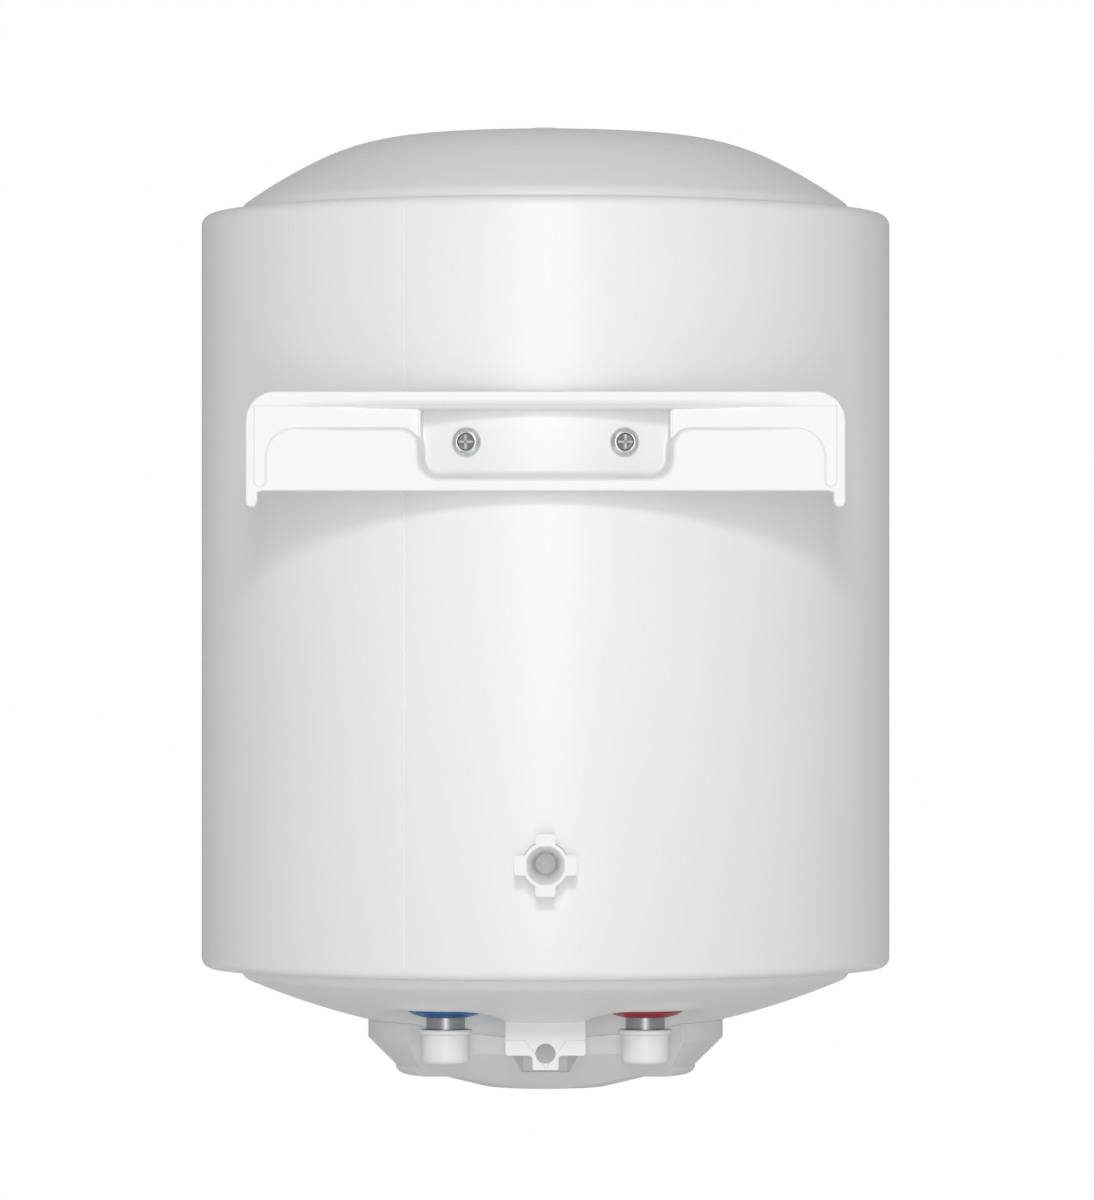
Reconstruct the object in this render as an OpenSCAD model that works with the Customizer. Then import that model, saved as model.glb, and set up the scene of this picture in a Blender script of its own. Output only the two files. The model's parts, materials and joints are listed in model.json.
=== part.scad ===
// Wall-hung electric tank water heater, slim upright model.
// Origin: wall face of the hanging bracket, middle of the strip above its lower edge.
// +Z is up, -Y points at the wall, +X is to the right for someone looking from the wall.

/* [Casing] */
// Outside diameter of the casing
casing_d = 353; // [320:1:430]
// Height of the casing between its two rolled ends
casing_h = 385.6; // [330:1:520]
// Height of the casing's upper end above the bracket's lower strip
casing_top = 142.3; // [130:1:200]
// Thickness of the casing sheet
casing_t = 0.8; // [0.5:0.1:1.5]
// Radius of the rolled corner at each end of the casing
casing_roll = 5.5; // [3:0.5:9]
// Width of the flange turned inwards at each end of the casing
casing_flange = 20.2; // [15:0.1:26]
// Angle of the lap seam from the middle of the wall side
seam_angle = -23.1; // [-60:1:60]
// Distance between the wall and the nearest line of the casing
wall_gap = 15.5; // [13:0.5:30]

/* [Covers] */
// Rise of the top cover above the casing
dome_rise = 42.3; // [34:0.5:60]
// Radius of the top cover's flat crown
crown_r = 1100; // [700:10:1600]
// Radius of the top cover's shoulder
shoulder_r = 123; // [90:1:140]
// Radius of the top cover's flank
flank_r = 260; // [220:5:320]
// Slope of the top cover where its shoulder meets its flank
flank_slope = 26; // [20:1:32]
// Radius of the edge where a cover turns down into the casing
cover_edge = 6; // [3:0.5:8]
// Wall thickness of the two covers
cover_t = 2; // [1.2:0.1:3]
// Depth of a cover's skirt inside the casing
skirt_depth = 7; // [4:0.5:12]
// Depth of the bottom cover's bowl below the casing
bowl_drop = 37; // [30:0.5:50]
// Diameter of the service opening in the bottom cover
service_d = 128; // [110:1:140]
// Diameter of the filling hole's plug
plug_d = 19; // [12:0.5:26]
// Height of the filling hole's plug above the crown
plug_rise = 3.6; // [1:0.1:6]

/* [Tank] */
// Thickness of the foam between tank and casing
foam_t = 23.7; // [15:0.1:35]
// Thickness of the tank sheet
tank_t = 1.8; // [1.2:0.1:3]
// Distance of the tank's upper weld below the casing's upper end
tank_below = 50.3; // [45:0.1:70]
// Distance of the tank's lower weld above the casing's lower end
tank_above = 65.3; // [60:0.1:80]
// Height of the tank heads
head_depth = 70.6; // [62:0.1:74]
// Knuckle radius of the tank heads
head_knuckle = 40; // [30:1:60]
// Overlap of a head's skirt and the straight part
head_lap = 12; // [8:1:20]

/* [Pipes] */
// Distance between the two pipe centres
pipe_pitch = 100; // [90:1:120]
// Distance of the pipes from the casing's axis, towards the wall
pipe_back = 90; // [80:1:100]
// Outside diameter of the G1/2 thread
thread_d = 20.955; // [20.955:0.001:26.441]
// Length of the pipe thread
thread_l = 12.5; // [10:0.5:16]
// Diameter of the plain neck above the thread
neck_d = 19.5; // [18:0.1:20.5]
// Diameter of the water way
pipe_bore = 15; // [12:0.5:16]
// Distance of the pipe ends below the casing
pipe_drop = 42.2; // [38:0.1:52]
// Diameter of the coloured rings
ring_d = 38; // [30:0.5:40]
// Thickness of the coloured rings in the middle
ring_t = 3.6; // [2:0.1:5]
// Diameter of the ceiling of the pocket that each pipe leaves from
pocket_d = 41; // [38:0.5:46]
// Diameter of that pocket 10 mm below its ceiling
pocket_mouth_d = 70; // [62:0.5:76]
// Distance of the pocket's ceiling below the casing
pocket_drop = 17.7; // [14:0.1:22]
// Wall thickness of the protective caps
cap_wall = 0.6; // [0.5:0.1:1.2]
// Radial clearance between cap and thread
cap_clear = 0.62; // [0.6:0.01:1]
// Length of a protective cap
cap_l = 17.4; // [15:0.1:22]
// Width of the cap's rim
cap_rim = 2; // [1:0.1:4]

/* [Bracket] */
// Width of the hanging bracket
bracket_w = 292.6; // [240:1:320]
// Height of the bracket above its lower edge
bracket_h = 48.7; // [46:0.5:70]
// Height of the origin above the plate's lower edge
strip_half = 3.4; // [3:0.1:5]
// Thickness of the bracket sheet
bracket_t = 2; // [1.5:0.1:3]
// Depth of the bracket's turned rim
rim_depth = 13; // [8:0.5:15]
// Radius of the bracket's upper corners
bracket_corner = 14.6; // [8:0.5:18]
// Width of the end legs
leg_w = 5.8; // [4:0.1:9]
// How far the end legs reach below the plate
leg_drop = 7.8; // [4:0.1:14]
// Width of the central pocket at the wall face
seat_w = 122.8; // [100:1:140]
// Distance of the pocket's lower line below the bracket's top
seat_bottom = 41.9; // [38:0.1:44]
// Height of the upper rim
top_rim = 6.8; // [4:0.1:9]
// Height of the groove below the upper rim
groove_h = 10.7; // [6:0.1:14]
// Depth of the groove
groove_depth = 4; // [2:0.5:7]
// Distance between the two bracket screws
screw_pitch = 78; // [60:1:100]
// Depth of the bracket screws below the bracket's top
screw_drop = 24.3; // [20:0.1:30]
// Diameter of the bracket screws
screw_d = 8; // [6:1:8]
// Diameter of the bracket screws' heads
screw_head_d = 14.4; // [12:0.1:15]

/* [Spacer] */
// Diameter of the adjustable spacer
spacer_d = 22.3; // [20:0.1:24]
// Span over two opposite lugs
lug_span = 30.5; // [28:0.1:36]
// Width of a lug
lug_w = 9.8; // [7:0.1:12]
// Thickness of the lugs
lug_t = 5; // [3:0.1:7]
// Length of the spacer
spacer_l = 33; // [28:0.5:36]
// Distance of the spacer's face from the wall plane
spacer_back = 0.5; // [0.2:0.1:2]
// Depth of the spacer's bore
spacer_bore = 31; // [20:0.5:31]
// Height of the spacer's middle above the casing's lower end
spacer_up = 57.4; // [40:0.1:120]
// Radial clearance of the spacer in its socket
spacer_clear = 0.35; // [0.3:0.05:0.8]

/* [Heating] */
// Outside diameter of the flange
flange_d = 104; // [96:1:112]
// Bolt circle of the flange
flange_pcd = 88; // [82:0.5:92]
// Number of flange bolts
flange_bolts_n = 5; // [4:1:8]
// Diameter of the access opening in the lower head
access_d = 68; // [60:1:72]
// Diameter of the heating element's tube
element_d = 8; // [6.5:0.5:10]
// Length of the heating element
element_l = 210; // [120:5:240]
// Diameter of the anode
anode_d = 20; // [14:1:22]
// Length of the anode
anode_l = 160; // [80:5:220]

/* [Control cover] */
// Diameter of the control cover
control_d = 182; // [174:1:184]
// Distance from the casing down to the end of the cover's upright wall
control_wall = 35.5; // [33:0.1:40]
// Diameter at the foot of its slanted wall
control_foot_d = 154; // [150:1:160]
// Height of its slanted wall
control_slant = 13.9; // [12:0.1:16]
// Height from its flat underside to the foot of the slanted wall
control_toe = 4.8; // [4.5:0.1:6]
// Diameter of the sunk middle of the underside
control_lens_d = 116; // [110:1:118]
// Diameter of the shallow crown in that middle
control_crown_d = 62; // [50:1:70]
// Drop of the sunk middle from its edge to the crown
control_lens = 6.6; // [5:0.1:8]
// Drop of the crown itself
control_crown = 1.2; // [0.5:0.1:2]
// Wall thickness of the control cover
control_t = 2; // [1.5:0.1:2.5]
// Distance of the upright back wall from the casing's axis
control_back = 51.5; // [49:0.5:56]
// Depth of the back wall's lower edge below the slanted wall's upper end
control_ledge = 6.4; // [5:0.1:8]
// Lean of the facet below the back wall
control_lean = 48; // [42:1:54]
// Width of the recess behind the tab
recess_w = 34.4; // [30:0.1:40]
// Depth of the recess behind the tab
recess_depth = 13; // [8:0.5:16]

/* [Tab] */
// Width of the fixing tab
tab_w = 40; // [34:0.5:46]
// Thickness of the tab
tab_t = 1.5; // [1:0.1:2.5]
// Distance of the tab from the casing's axis
tab_back = 104; // [100:0.5:108]
// Distance of the tab's shoulders below the casing
tab_drop = 40; // [37:0.1:44]
// Width of the tab's tongue
tongue_w = 13; // [12.5:0.1:20]
// Length of the tab's tongue
tongue_l = 7.2; // [4:0.1:12]
// Diameter of the hole in the tab
tab_hole_d = 10; // [6:0.5:11]

/* [Hidden] */
$fn = 96;
eps = 0.01;
gap = 0.2;
casing_r = casing_d / 2;
axis_y = wall_gap + casing_r;
casing_bottom = casing_top - casing_h;
pipe_end = pipe_drop - casing_bottom;
pocket_z = pocket_drop - casing_bottom;
spacer_z = -casing_bottom - spacer_up;
tab_z = tab_drop - casing_bottom;
control_turn = control_wall - casing_bottom;
control_foot = control_turn + control_slant;
control_floor = control_foot + control_toe;
cover_r = casing_r - casing_flange - 0.3;
dome_top = casing_top + dome_rise;
tank_r = casing_r - casing_t - foam_t;
tank_top = casing_top - tank_below;
tank_bottom = casing_bottom + tank_above;
tank_h = tank_top - tank_bottom;
head_crown = (pow(tank_r - head_knuckle, 2) + pow(head_depth, 2) - pow(head_knuckle, 2))
    / (2 * (head_depth - head_knuckle));
head_angle = asin((tank_r - head_knuckle) / (head_crown - head_knuckle));
head_low = tank_bottom - head_depth;
pipe_y = axis_y - pipe_back;
plate_bottom = -strip_half;
bracket_top = plate_bottom + bracket_h;
seat_floor = bracket_top - seat_bottom;
screw_z = bracket_top - screw_drop;
flange_top = head_low - 7;
flange_t = 4;
gasket_t = 3;
bowl_low = casing_bottom - bowl_drop;
cap_r = thread_d / 2 + cap_clear;
cap_out = cap_r + cap_wall;
cap_top = -(pipe_end - thread_l - 2.3);
rod_foot = flange_top - gasket_t;
plate_low = rod_foot - flange_t;
thermostat_h = 17;
thermostat_low = plate_low - thermostat_h;
dial_d = 17;
dial_h = 5;
button_d = 6;
lamp_angle = 90;
lamp_d = 9;
grommet_angle = 52;
grommet_d = 10;
cable_d = 7;
control_ring_r = (control_lens_d + control_foot_d) / 4 - 2.5;
colour_white = [0.95, 0.95, 0.95];
colour_cover = [0.90, 0.90, 0.90];
colour_steel = [0.62, 0.63, 0.65];

// ---- shared outlines and shapes ----

// Points of an arc; angles in degrees from +X towards +Y
function arc(cx, cy, r, a0, a1, n = 12) =
    [for (i = [0:n]) let (a = a0 + (a1 - a0) * i / n) [cx + r * cos(a), cy + r * sin(a)]];

// Centres of the top cover's arcs when its crown reaches out to the angle a
edge_x = cover_r - cover_edge;
function shoulder_x(a) = (crown_r - shoulder_r) * sin(a);
function shoulder_z(a) = dome_top - crown_r + (crown_r - shoulder_r) * cos(a);
function flank_x(a) = shoulder_x(a) + (shoulder_r - flank_r) * sin(flank_slope);
function flank_z(a) = shoulder_z(a) + (shoulder_r - flank_r) * cos(flank_slope);
function edge_z(a) =
    let (run = edge_x - flank_x(a), reach = flank_r - cover_edge)
    flank_z(a) + sqrt(max(0, reach * reach - run * run));

// The crown's angle that lets the cover's edge meet the casing, halved in on n times
function crown_angle(low, high, n) =
    let (a = (low + high) / 2)
    n == 0 ? a : edge_z(a) < casing_top + 1.3 ? crown_angle(a, high, n - 1) : crown_angle(low, a, n - 1);
dome_crown_a = crown_angle(0, 10, 24);

// Outline of the top cover, crown to edge, moved inwards by off
function dome_points(off) =
    let (
        a = dome_crown_a,
        edge_a = asin((edge_x - flank_x(a)) / (flank_r - cover_edge))
    )
    concat(
        arc(0, dome_top - crown_r, crown_r - off, 90, 90 - a, 4),
        arc(shoulder_x(a), shoulder_z(a), shoulder_r - off, 90 - a, 90 - flank_slope, 10),
        arc(flank_x(a), flank_z(a), flank_r - off, 90 - flank_slope, 90 - edge_a, 8),
        arc(edge_x, edge_z(a), cover_edge - off, 90 - edge_a, 0, 6));

// Outline of the bottom cover's bowl, service opening to edge, moved inwards by off
bowl_turn = bowl_drop - 0.5;
bowl_r = (edge_x * edge_x + bowl_turn * bowl_turn - cover_edge * cover_edge)
    / (2 * (bowl_turn - cover_edge));
bowl_centre = bowl_low + bowl_r;
function bowl_points(off, from_r) =
    let (
        edge_a = asin(edge_x / (bowl_r - cover_edge)),
        start_a = asin(from_r / (bowl_r - off)),
        z1 = bowl_centre - (bowl_r - cover_edge) * cos(edge_a)
    )
    concat(
        arc(0, bowl_centre, bowl_r - off, -90 + start_a, -90 + edge_a, 10),
        arc(edge_x, z1, cover_edge - off, -90 + edge_a, 0, 6));

// Half outline of a tank head with its crown up and its weld line at zero, moved out by off
function head_points(off) =
    concat(
        arc(0, head_depth - head_crown, head_crown + off, 90, 90 - head_angle, 8),
        arc(tank_r - head_knuckle, 0, head_knuckle + off, 90 - head_angle, 0, 8));

module turned() {
    translate([0, axis_y, 0]) rotate_extrude($fn = 180) children();
}

// A pressed-in or drilled shape at a pipe: side -1 is cold, 1 is hot
module at_pipe(side) {
    translate([side * pipe_pitch / 2, pipe_y, 0]) children();
}

// Places its children on the back of the casing, +Z turned out towards the wall
module towards_wall(x, z) {
    translate([x, axis_y, z]) rotate([90, 0, 0]) children();
}

module tube(r_out, r_in, h) {
    difference() {
        cylinder(r = r_out, h = h);
        translate([0, 0, -1]) cylinder(r = r_in, h = h + 2);
    }
}

// A lead: an eight-sided tube swept along a smooth curve through a list of points
lead_sides = 8;
lead_steps = 5;
function curve(p, i, t) =
    let (
        p0 = p[max(i - 1, 0)], p1 = p[i], p2 = p[i + 1], p3 = p[min(i + 2, len(p) - 1)]
    )
    (2 * p1 + (p2 - p0) * t + (2 * p0 - 5 * p1 + 4 * p2 - p3) * t * t
        + (3 * p1 - p0 - 3 * p2 + p3) * t * t * t) / 2;

module lead(points, r) {
    line = concat(
        [for (i = [0:len(points) - 2]) for (k = [0:lead_steps - 1]) curve(points, i, k / lead_steps)],
        [points[len(points) - 1]]);
    last = len(line) - 1;
    rings = [for (i = [0:last])
        let (
            d = line[min(i + 1, last)] - line[max(i - 1, 0)],
            side = cross(d, [0, 0.2, 1]),
            u = side / norm(side),
            v = cross(d, u) / norm(d)
        )
        for (k = [0:lead_sides - 1]) line[i] + r * (u * cos(k * 45) + v * sin(k * 45))];
    n = lead_sides;
    polyhedron(rings, concat(
        [[for (k = [0:n - 1]) k]],
        [for (i = [0:last - 1]) for (k = [0:n - 1])
            [i * n + k, (i + 1) * n + k, (i + 1) * n + (k + 1) % n, i * n + (k + 1) % n]],
        [[for (k = [n - 1:-1:0]) last * n + k]]));
}

// Everything inside a round hole at each pipe
module pipe_holes(r, top, drop) {
    for (side = [-1, 1]) at_pipe(side) translate([0, 0, top - drop]) cylinder(r = r, h = drop);
}

// The flaring pockets that the pipes leave from, grown by off
module pockets(off) {
    flare = (pocket_mouth_d - pocket_d) / 2 / 10;
    for (side = [-1, 1]) at_pipe(side) translate([0, 0, -pocket_z - 30 + off])
        cylinder(r1 = pocket_d / 2 + 30 * flare + off, r2 = pocket_d / 2 + off, h = 30);
}

// ---- casing and covers ----

// One rolled end of the casing's outline; up is 1 at the top and -1 at the bottom
function end_points(z, up) =
    let (
        x = casing_r - casing_roll,
        roll_z = z - up * casing_roll
    )
    concat(
        arc(x, roll_z, casing_roll, 0, up * 90, 8),
        [[casing_r - casing_flange, z], [casing_r - casing_flange, z - up * casing_t]],
        arc(x, roll_z, casing_roll - casing_t, up * 90, 0, 8));

module outer_casing() {
    color(colour_white) difference() {
        turned() polygon(concat(
            end_points(casing_top, 1),
            let (q = end_points(casing_bottom, -1)) [for (i = [len(q) - 1:-1:0]) q[i]]));
        // lap seam of the rolled sheet
        translate([0, axis_y, 0]) rotate(seam_angle)
            translate([-0.3, -casing_r - 1, casing_bottom + casing_roll])
                cube([0.6, 1.45, casing_h - 2 * casing_roll]);
        for (x = [-1, 1] * screw_pitch / 2) boss_axis(x) translate([0, 0, casing_r - 6])
            cylinder(d = screw_d + 1, h = 12);
        towards_wall(0, -spacer_z) translate([0, 0, casing_r - 6])
            cylinder(r = spacer_d / 2 + spacer_clear, h = 12);
    }
}

module top_cover() {
    color(colour_cover) difference() {
        turned() polygon(concat(
            dome_points(0),
            [[cover_r, casing_top - skirt_depth], [cover_r - cover_t, casing_top - skirt_depth]],
            [for (i = [31:-1:0]) dome_points(cover_t)[i]]));
        translate([0, axis_y, dome_top - 10]) cylinder(d = plug_d - 5, h = 20);
    }
}

module filling_plug() {
    color(colour_cover) translate([0, axis_y, 0]) {
        translate([0, 0, dome_top + 0.1]) rotate_extrude() polygon(concat(
            [[0, 0], [plug_d / 2, 0]],
            arc(plug_d / 2 - 1.5, plug_rise - 1.6, 1.5, 0, 90, 6),
            [[0, plug_rise]]));
        translate([0, 0, dome_top - cover_t - 3]) cylinder(d = plug_d - 5.4, h = cover_t + 3.2);
    }
}

module bottom_shell() {
    turned() polygon(concat(
        [for (p = bowl_points(0, service_d / 2)) p],
        [[cover_r, casing_bottom + skirt_depth], [cover_r - cover_t, casing_bottom + skirt_depth]],
        let (q = bowl_points(cover_t, service_d / 2)) [for (i = [len(q) - 1:-1:0]) q[i]]));
}

module bottom_cover() {
    color(colour_cover) difference() {
        union() {
            difference() {
                bottom_shell();
                pockets(0);
            }
            // pockets: a ceiling and the part of the flaring wall that stays inside the bowl
            intersection() {
                difference() {
                    pockets(cover_t);
                    pockets(0);
                }
                turned() polygon(concat(
                    bowl_points(0, service_d / 2),
                    [[cover_r - cover_t, -pocket_z + 10], [service_d / 2, -pocket_z + 10]]));
            }
        }
        pipe_holes(neck_d / 2 + 0.6, -pocket_z + 20, 40);
        translate([-tab_w / 2 - 0.5, axis_y - tab_back - 1, -tab_z + 2]) cube([tab_w + 1, 12, 30]);
    }
}

module foam_insulation() {
    lift = cover_t + gap;
    color([0.93, 0.86, 0.62]) difference() {
        turned() polygon(concat(
            dome_points(lift),
            [[cover_r - lift, casing_top - casing_t - skirt_depth - gap],
             [cover_r + gap, casing_top - casing_t - skirt_depth - gap],
             [cover_r + gap, casing_top - casing_t - gap]],
            arc(casing_r - casing_roll, casing_top - casing_roll, casing_roll - casing_t - gap, 90, 0, 6),
            arc(casing_r - casing_roll, casing_bottom + casing_roll, casing_roll - casing_t - gap, 0, -90, 6),
            [[cover_r + gap, casing_bottom + casing_t + gap],
             [cover_r + gap, casing_bottom + skirt_depth + gap],
             [cover_r - lift, casing_bottom + skirt_depth + gap]],
            let (q = bowl_points(lift, service_d / 2)) [for (i = [len(q) - 1:-1:0]) q[i]],
            [[service_d / 2, head_low - 2], [0, head_low - 2]]));
        tank_outside(gap);
        pockets(cover_t + gap);
        pipe_holes(thread_d / 2 + 0.4, -pocket_z + 60, 60);
        translate([0, axis_y, head_low - 30]) cylinder(d = flange_d + 2, h = 50);
        for (x = [-1, 1] * screw_pitch / 2) boss_axis(x) cylinder(r = 9.2, h = casing_r);
        towards_wall(0, -spacer_z) cylinder(r = socket_r + 4.2, h = casing_r);
        translate([0, axis_y, dome_top - cover_t - 3.3]) cylinder(d = plug_d - 5, h = 5);
        tab_slot();
    }
}

// Room behind the bottom cover for the root of the tab
module tab_slot() {
    translate([-tab_w / 2 - 1, axis_y - tab_back - 2, -tab_z + 12]) cube([tab_w + 2, 16, 16]);
}

// ---- tank ----

module head_solid(off) {
    rotate_extrude($fn = 180) polygon(concat([[0, -1]], [[0, head_depth + off]],
        [for (i = [1:17]) head_points(off)[i]], [[tank_r + off, -1]]));
}

module tank_outside(off) {
    translate([0, axis_y, 0]) {
        translate([0, 0, tank_bottom]) cylinder(r = tank_r + off, h = tank_h, $fn = 180);
        translate([0, 0, tank_top]) head_solid(off);
        translate([0, 0, tank_bottom]) mirror([0, 0, 1]) head_solid(off);
    }
}

module head_shell() {
    inner = head_points(-tank_t);
    lip = tank_r - tank_t;
    rotate_extrude($fn = 180) polygon(concat(
        head_points(0),
        [[lip, 0], [lip, -head_lap], [lip - tank_t, -head_lap], [lip - tank_t, 0]],
        [for (i = [17:-1:0]) [min(inner[i][0], lip - tank_t), inner[i][1]]]));
}

module tank_shell() {
    color([0.25, 0.33, 0.42]) translate([0, axis_y, tank_bottom])
        tube(tank_r, tank_r - tank_t, tank_h, $fn = 180);
}

module tank_top_head() {
    color([0.25, 0.33, 0.42]) translate([0, axis_y, tank_top]) head_shell();
}

module tank_bottom_head() {
    color([0.25, 0.33, 0.42]) difference() {
        translate([0, axis_y, tank_bottom]) mirror([0, 0, 1]) head_shell();
        pipe_holes(thread_d / 2, head_low + 60, 80);
        translate([0, axis_y, head_low - 10]) cylinder(d = access_d, h = 30);
    }
}

// Axis of a bracket screw: square to the tank, x off the middle
module boss_axis(x) {
    translate([0, axis_y, screw_z]) rotate([90, 0, asin(x / casing_r)]) children();
}

module bracket_bosses() {
    color(colour_steel) for (x = [-1, 1] * screw_pitch / 2) boss_axis(x)
        difference() {
            translate([0, 0, tank_r - 1]) cylinder(r = 9, h = casing_r - casing_t - tank_r + 0.5);
            translate([0, 0, tank_r + 4]) cylinder(d = screw_d + 0.1, h = casing_r);
            tank_core();
        }
}

// The tank's round wall, lying along the boss axis, so that a boss ends flush on it
module tank_core() {
    rotate([90, 0, 0]) translate([0, 0, -60]) cylinder(r = tank_r + 0.05, h = 120, $fn = 180);
}

// ---- hanging bracket ----

module bracket_outline(in) {
    w = bracket_w / 2 - in;
    r = bracket_corner - in;
    h = bracket_top - in;
    polygon(concat(
        [[-w, plate_bottom - 1], [w, plate_bottom - 1]],
        arc(w - r, h - r, r, 0, 90, 10),
        arc(-w + r, h - r, r, 90, 180, 10)));
}

// The screw seat: a tapered well that ends on the casing
module seat_well(grow) {
    half = seat_w / 2 + grow;
    low = seat_floor - grow;
    r = 9.7 + grow;
    rotate([-90, 0, 0]) linear_extrude(axis_y) mirror([0, 1]) polygon(concat(
        arc(-half + r, low + r, r, 180, 270, 8),
        arc(half - r, low + r, r, 270, 360, 8),
        [[half, bracket_top - top_rim + grow], [-half, bracket_top - top_rim + grow]]));
}

module wall_bracket() {
    floor_r = casing_r + 0.1;
    color(colour_white) difference() {
        union() {
            // plate with its turned rim, open below
            difference() {
                rotate([90, 0, 0]) mirror([0, 0, 1]) linear_extrude(rim_depth) bracket_outline(0);
                translate([0, bracket_t, 0]) rotate([90, 0, 0]) mirror([0, 0, 1])
                    linear_extrude(rim_depth) bracket_outline(bracket_t);
                translate([-bracket_w, -1, plate_bottom - 10]) cube([2 * bracket_w, 30, 10]);
            }
            for (side = [-1, 1]) end_leg(side);
            // backing of the groove and of the seat
            intersection() {
                rotate([90, 0, 0]) mirror([0, 0, 1]) linear_extrude(40) bracket_outline(bracket_t / 2);
                groove(bracket_t);
            }
            intersection() {
                seat_well(bracket_t);
                difference() {
                    translate([-200, 0, plate_bottom]) cube([400, 40, bracket_h]);
                    casing_cylinder(floor_r);
                }
            }
        }
        groove(0);
        intersection() {
            seat_well(0);
            translate([-200, -1, -200]) cube([400, 60, 400]);
            difference() {
                translate([-200, -1, -200]) cube([400, 60, 400]);
                casing_cylinder(floor_r + bracket_t);
            }
        }
        for (x = [-1, 1] * screw_pitch / 2) boss_axis(x) translate([0, 0, casing_r - 4])
            cylinder(d = screw_d + 1, h = 12);
    }
}

module casing_cylinder(r) {
    translate([0, axis_y, -200]) cylinder(r = r, h = 400, $fn = 180);
}

module end_leg(side) {
    translate([side * (bracket_w / 2 - leg_w / 2), 0, 0]) {
        translate([-leg_w / 2, 0, plate_bottom - leg_drop + leg_w / 2])
            cube([leg_w, rim_depth, leg_drop - leg_w / 2 + 2]);
        translate([0, 0, plate_bottom - leg_drop + leg_w / 2])
            rotate([-90, 0, 0]) cylinder(d = leg_w, h = rim_depth);
    }
}

// Groove between the upper rim and the plate: it falls away towards the seat
module groove(grow) {
    top = bracket_top - top_rim + grow;
    half = bracket_w / 2 - 9.5;
    for (side = [-1, 1]) mirror([side < 0 ? 1 : 0, 0, 0])
        translate([0, 0, top - groove_h - 2 * grow]) linear_extrude(groove_h + 2 * grow) polygon([
            [seat_w / 2 - 3, grow > 0 ? 0 : -1], [half, grow > 0 ? 0 : -1], [half, grow + 0.5],
            [seat_w / 2 + 4, grow + groove_depth], [seat_w / 2 - 3, grow + groove_depth]]);
}

module bracket_screws() {
    seat = casing_r + bracket_t + 0.1;
    color(colour_steel) for (x = [-1, 1] * screw_pitch / 2) boss_axis(x) difference() {
        union() {
            translate([0, 0, tank_r + 6]) cylinder(d = screw_d, h = seat - tank_r - 5);
            translate([0, 0, seat + 0.15]) rotate_extrude() polygon(concat(
                [[0, 0], [screw_head_d / 2, 0], [screw_head_d / 2, 1.2]],
                arc(4.6, -0.4, 4.6, 20, 70, 6),
                [[0, 4.2]]));
        }
        translate([0, 0, seat + 1.6]) {
            for (turn = [0, 90]) rotate(turn) translate([-3.5, -0.6, 0]) cube([7, 1.2, 5]);
        }
    }
}

// ---- adjustable spacer ----

socket_r = spacer_d / 2 + spacer_clear + 1.6;
socket_floor = wall_gap + casing_t + 21.8;

module spacer_socket() {
    color(colour_white) difference() {
        union() {
            translate([0, socket_floor, -spacer_z]) rotate([90, 0, 0])
                cylinder(r = socket_r, h = socket_floor - wall_gap - casing_t - 0.7);
            translate([0, wall_gap + casing_t + 2.2, -spacer_z]) rotate([90, 0, 0])
                cylinder(r = socket_r + 4, h = 1.4);
        }
        translate([0, socket_floor - 1.6, -spacer_z]) rotate([90, 0, 0])
            cylinder(r = spacer_d / 2 + spacer_clear, h = 40);
    }
}

module wall_spacer() {
    mouth = 19.3;
    throat = 17.8;
    floor_d = 10;
    color(colour_white) translate([0, spacer_back, -spacer_z]) rotate([-90, 0, 0]) difference() {
        union() {
            cylinder(d = spacer_d, h = spacer_l);
            for (turn = [0, 90]) rotate(turn) lug_bar();
        }
        translate([0, 0, -eps]) cylinder(d1 = mouth, d2 = throat, h = 1 + eps);
        translate([0, 0, 1 - eps]) cylinder(d1 = throat, d2 = floor_d, h = spacer_bore - 1 + eps);
    }
}

module lug_bar() {
    half = lug_span / 2;
    r = 1.5;
    linear_extrude(lug_t) polygon(concat(
        arc(half - r, lug_w / 2 - r, r, 0, 90, 5),
        arc(-half + r, lug_w / 2 - r, r, 90, 180, 5),
        arc(-half + r, -lug_w / 2 + r, r, 180, 270, 5),
        arc(half - r, -lug_w / 2 + r, r, 270, 360, 5)));
}

// ---- pipes ----

module nipple(side) {
    color(colour_steel) at_pipe(side) difference() {
        union() {
            translate([0, 0, -pipe_end + thread_l]) cylinder(d = neck_d, h = pipe_end - thread_l + head_low + 24);
            translate([0, 0, -pipe_end + 0.8]) cylinder(d = thread_d, h = thread_l - 1.6);
            translate([0, 0, -pipe_end]) cylinder(d1 = thread_d - 1.6, d2 = thread_d, h = 0.8 + eps);
            translate([0, 0, -pipe_end + thread_l - 0.8 - eps])
                cylinder(d1 = thread_d, d2 = neck_d, h = 0.8 + eps);
            // welded collar in the lower head
            translate([0, 0, head_low + 11]) cylinder(d = thread_d - 0.1, h = 13);
        }
        translate([0, 0, -pipe_end - 1]) cylinder(d = pipe_bore, h = 100);
    }
}

module cold_nipple() { nipple(-1); }

module hot_nipple() { nipple(1); }

// Slotted cup that spreads the cold water over the bottom of the tank
module cold_diffuser() {
    h = 34;
    r = pipe_bore / 2 - 0.1;
    color([0.85, 0.87, 0.9]) at_pipe(-1) translate([0, 0, head_low + 14]) difference() {
        union() {
            cylinder(r = r, h = h);
            translate([0, 0, h - 4]) cylinder(r = 13, h = 4);
        }
        translate([0, 0, -1]) cylinder(r = r - 1.2, h = h - 1);
        for (turn = [0, 90]) rotate(turn) translate([-20, -3, 15]) cube([40, 6, 11]);
    }
}

// Tube that draws the hot water from under the upper head
module hot_outlet_tube() {
    r = pipe_bore / 2 - 0.1;
    color([0.75, 0.75, 0.78]) at_pipe(1) translate([0, 0, head_low + 14])
        tube(r, r - 1, tank_h + head_depth + head_depth - 62);
}

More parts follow.
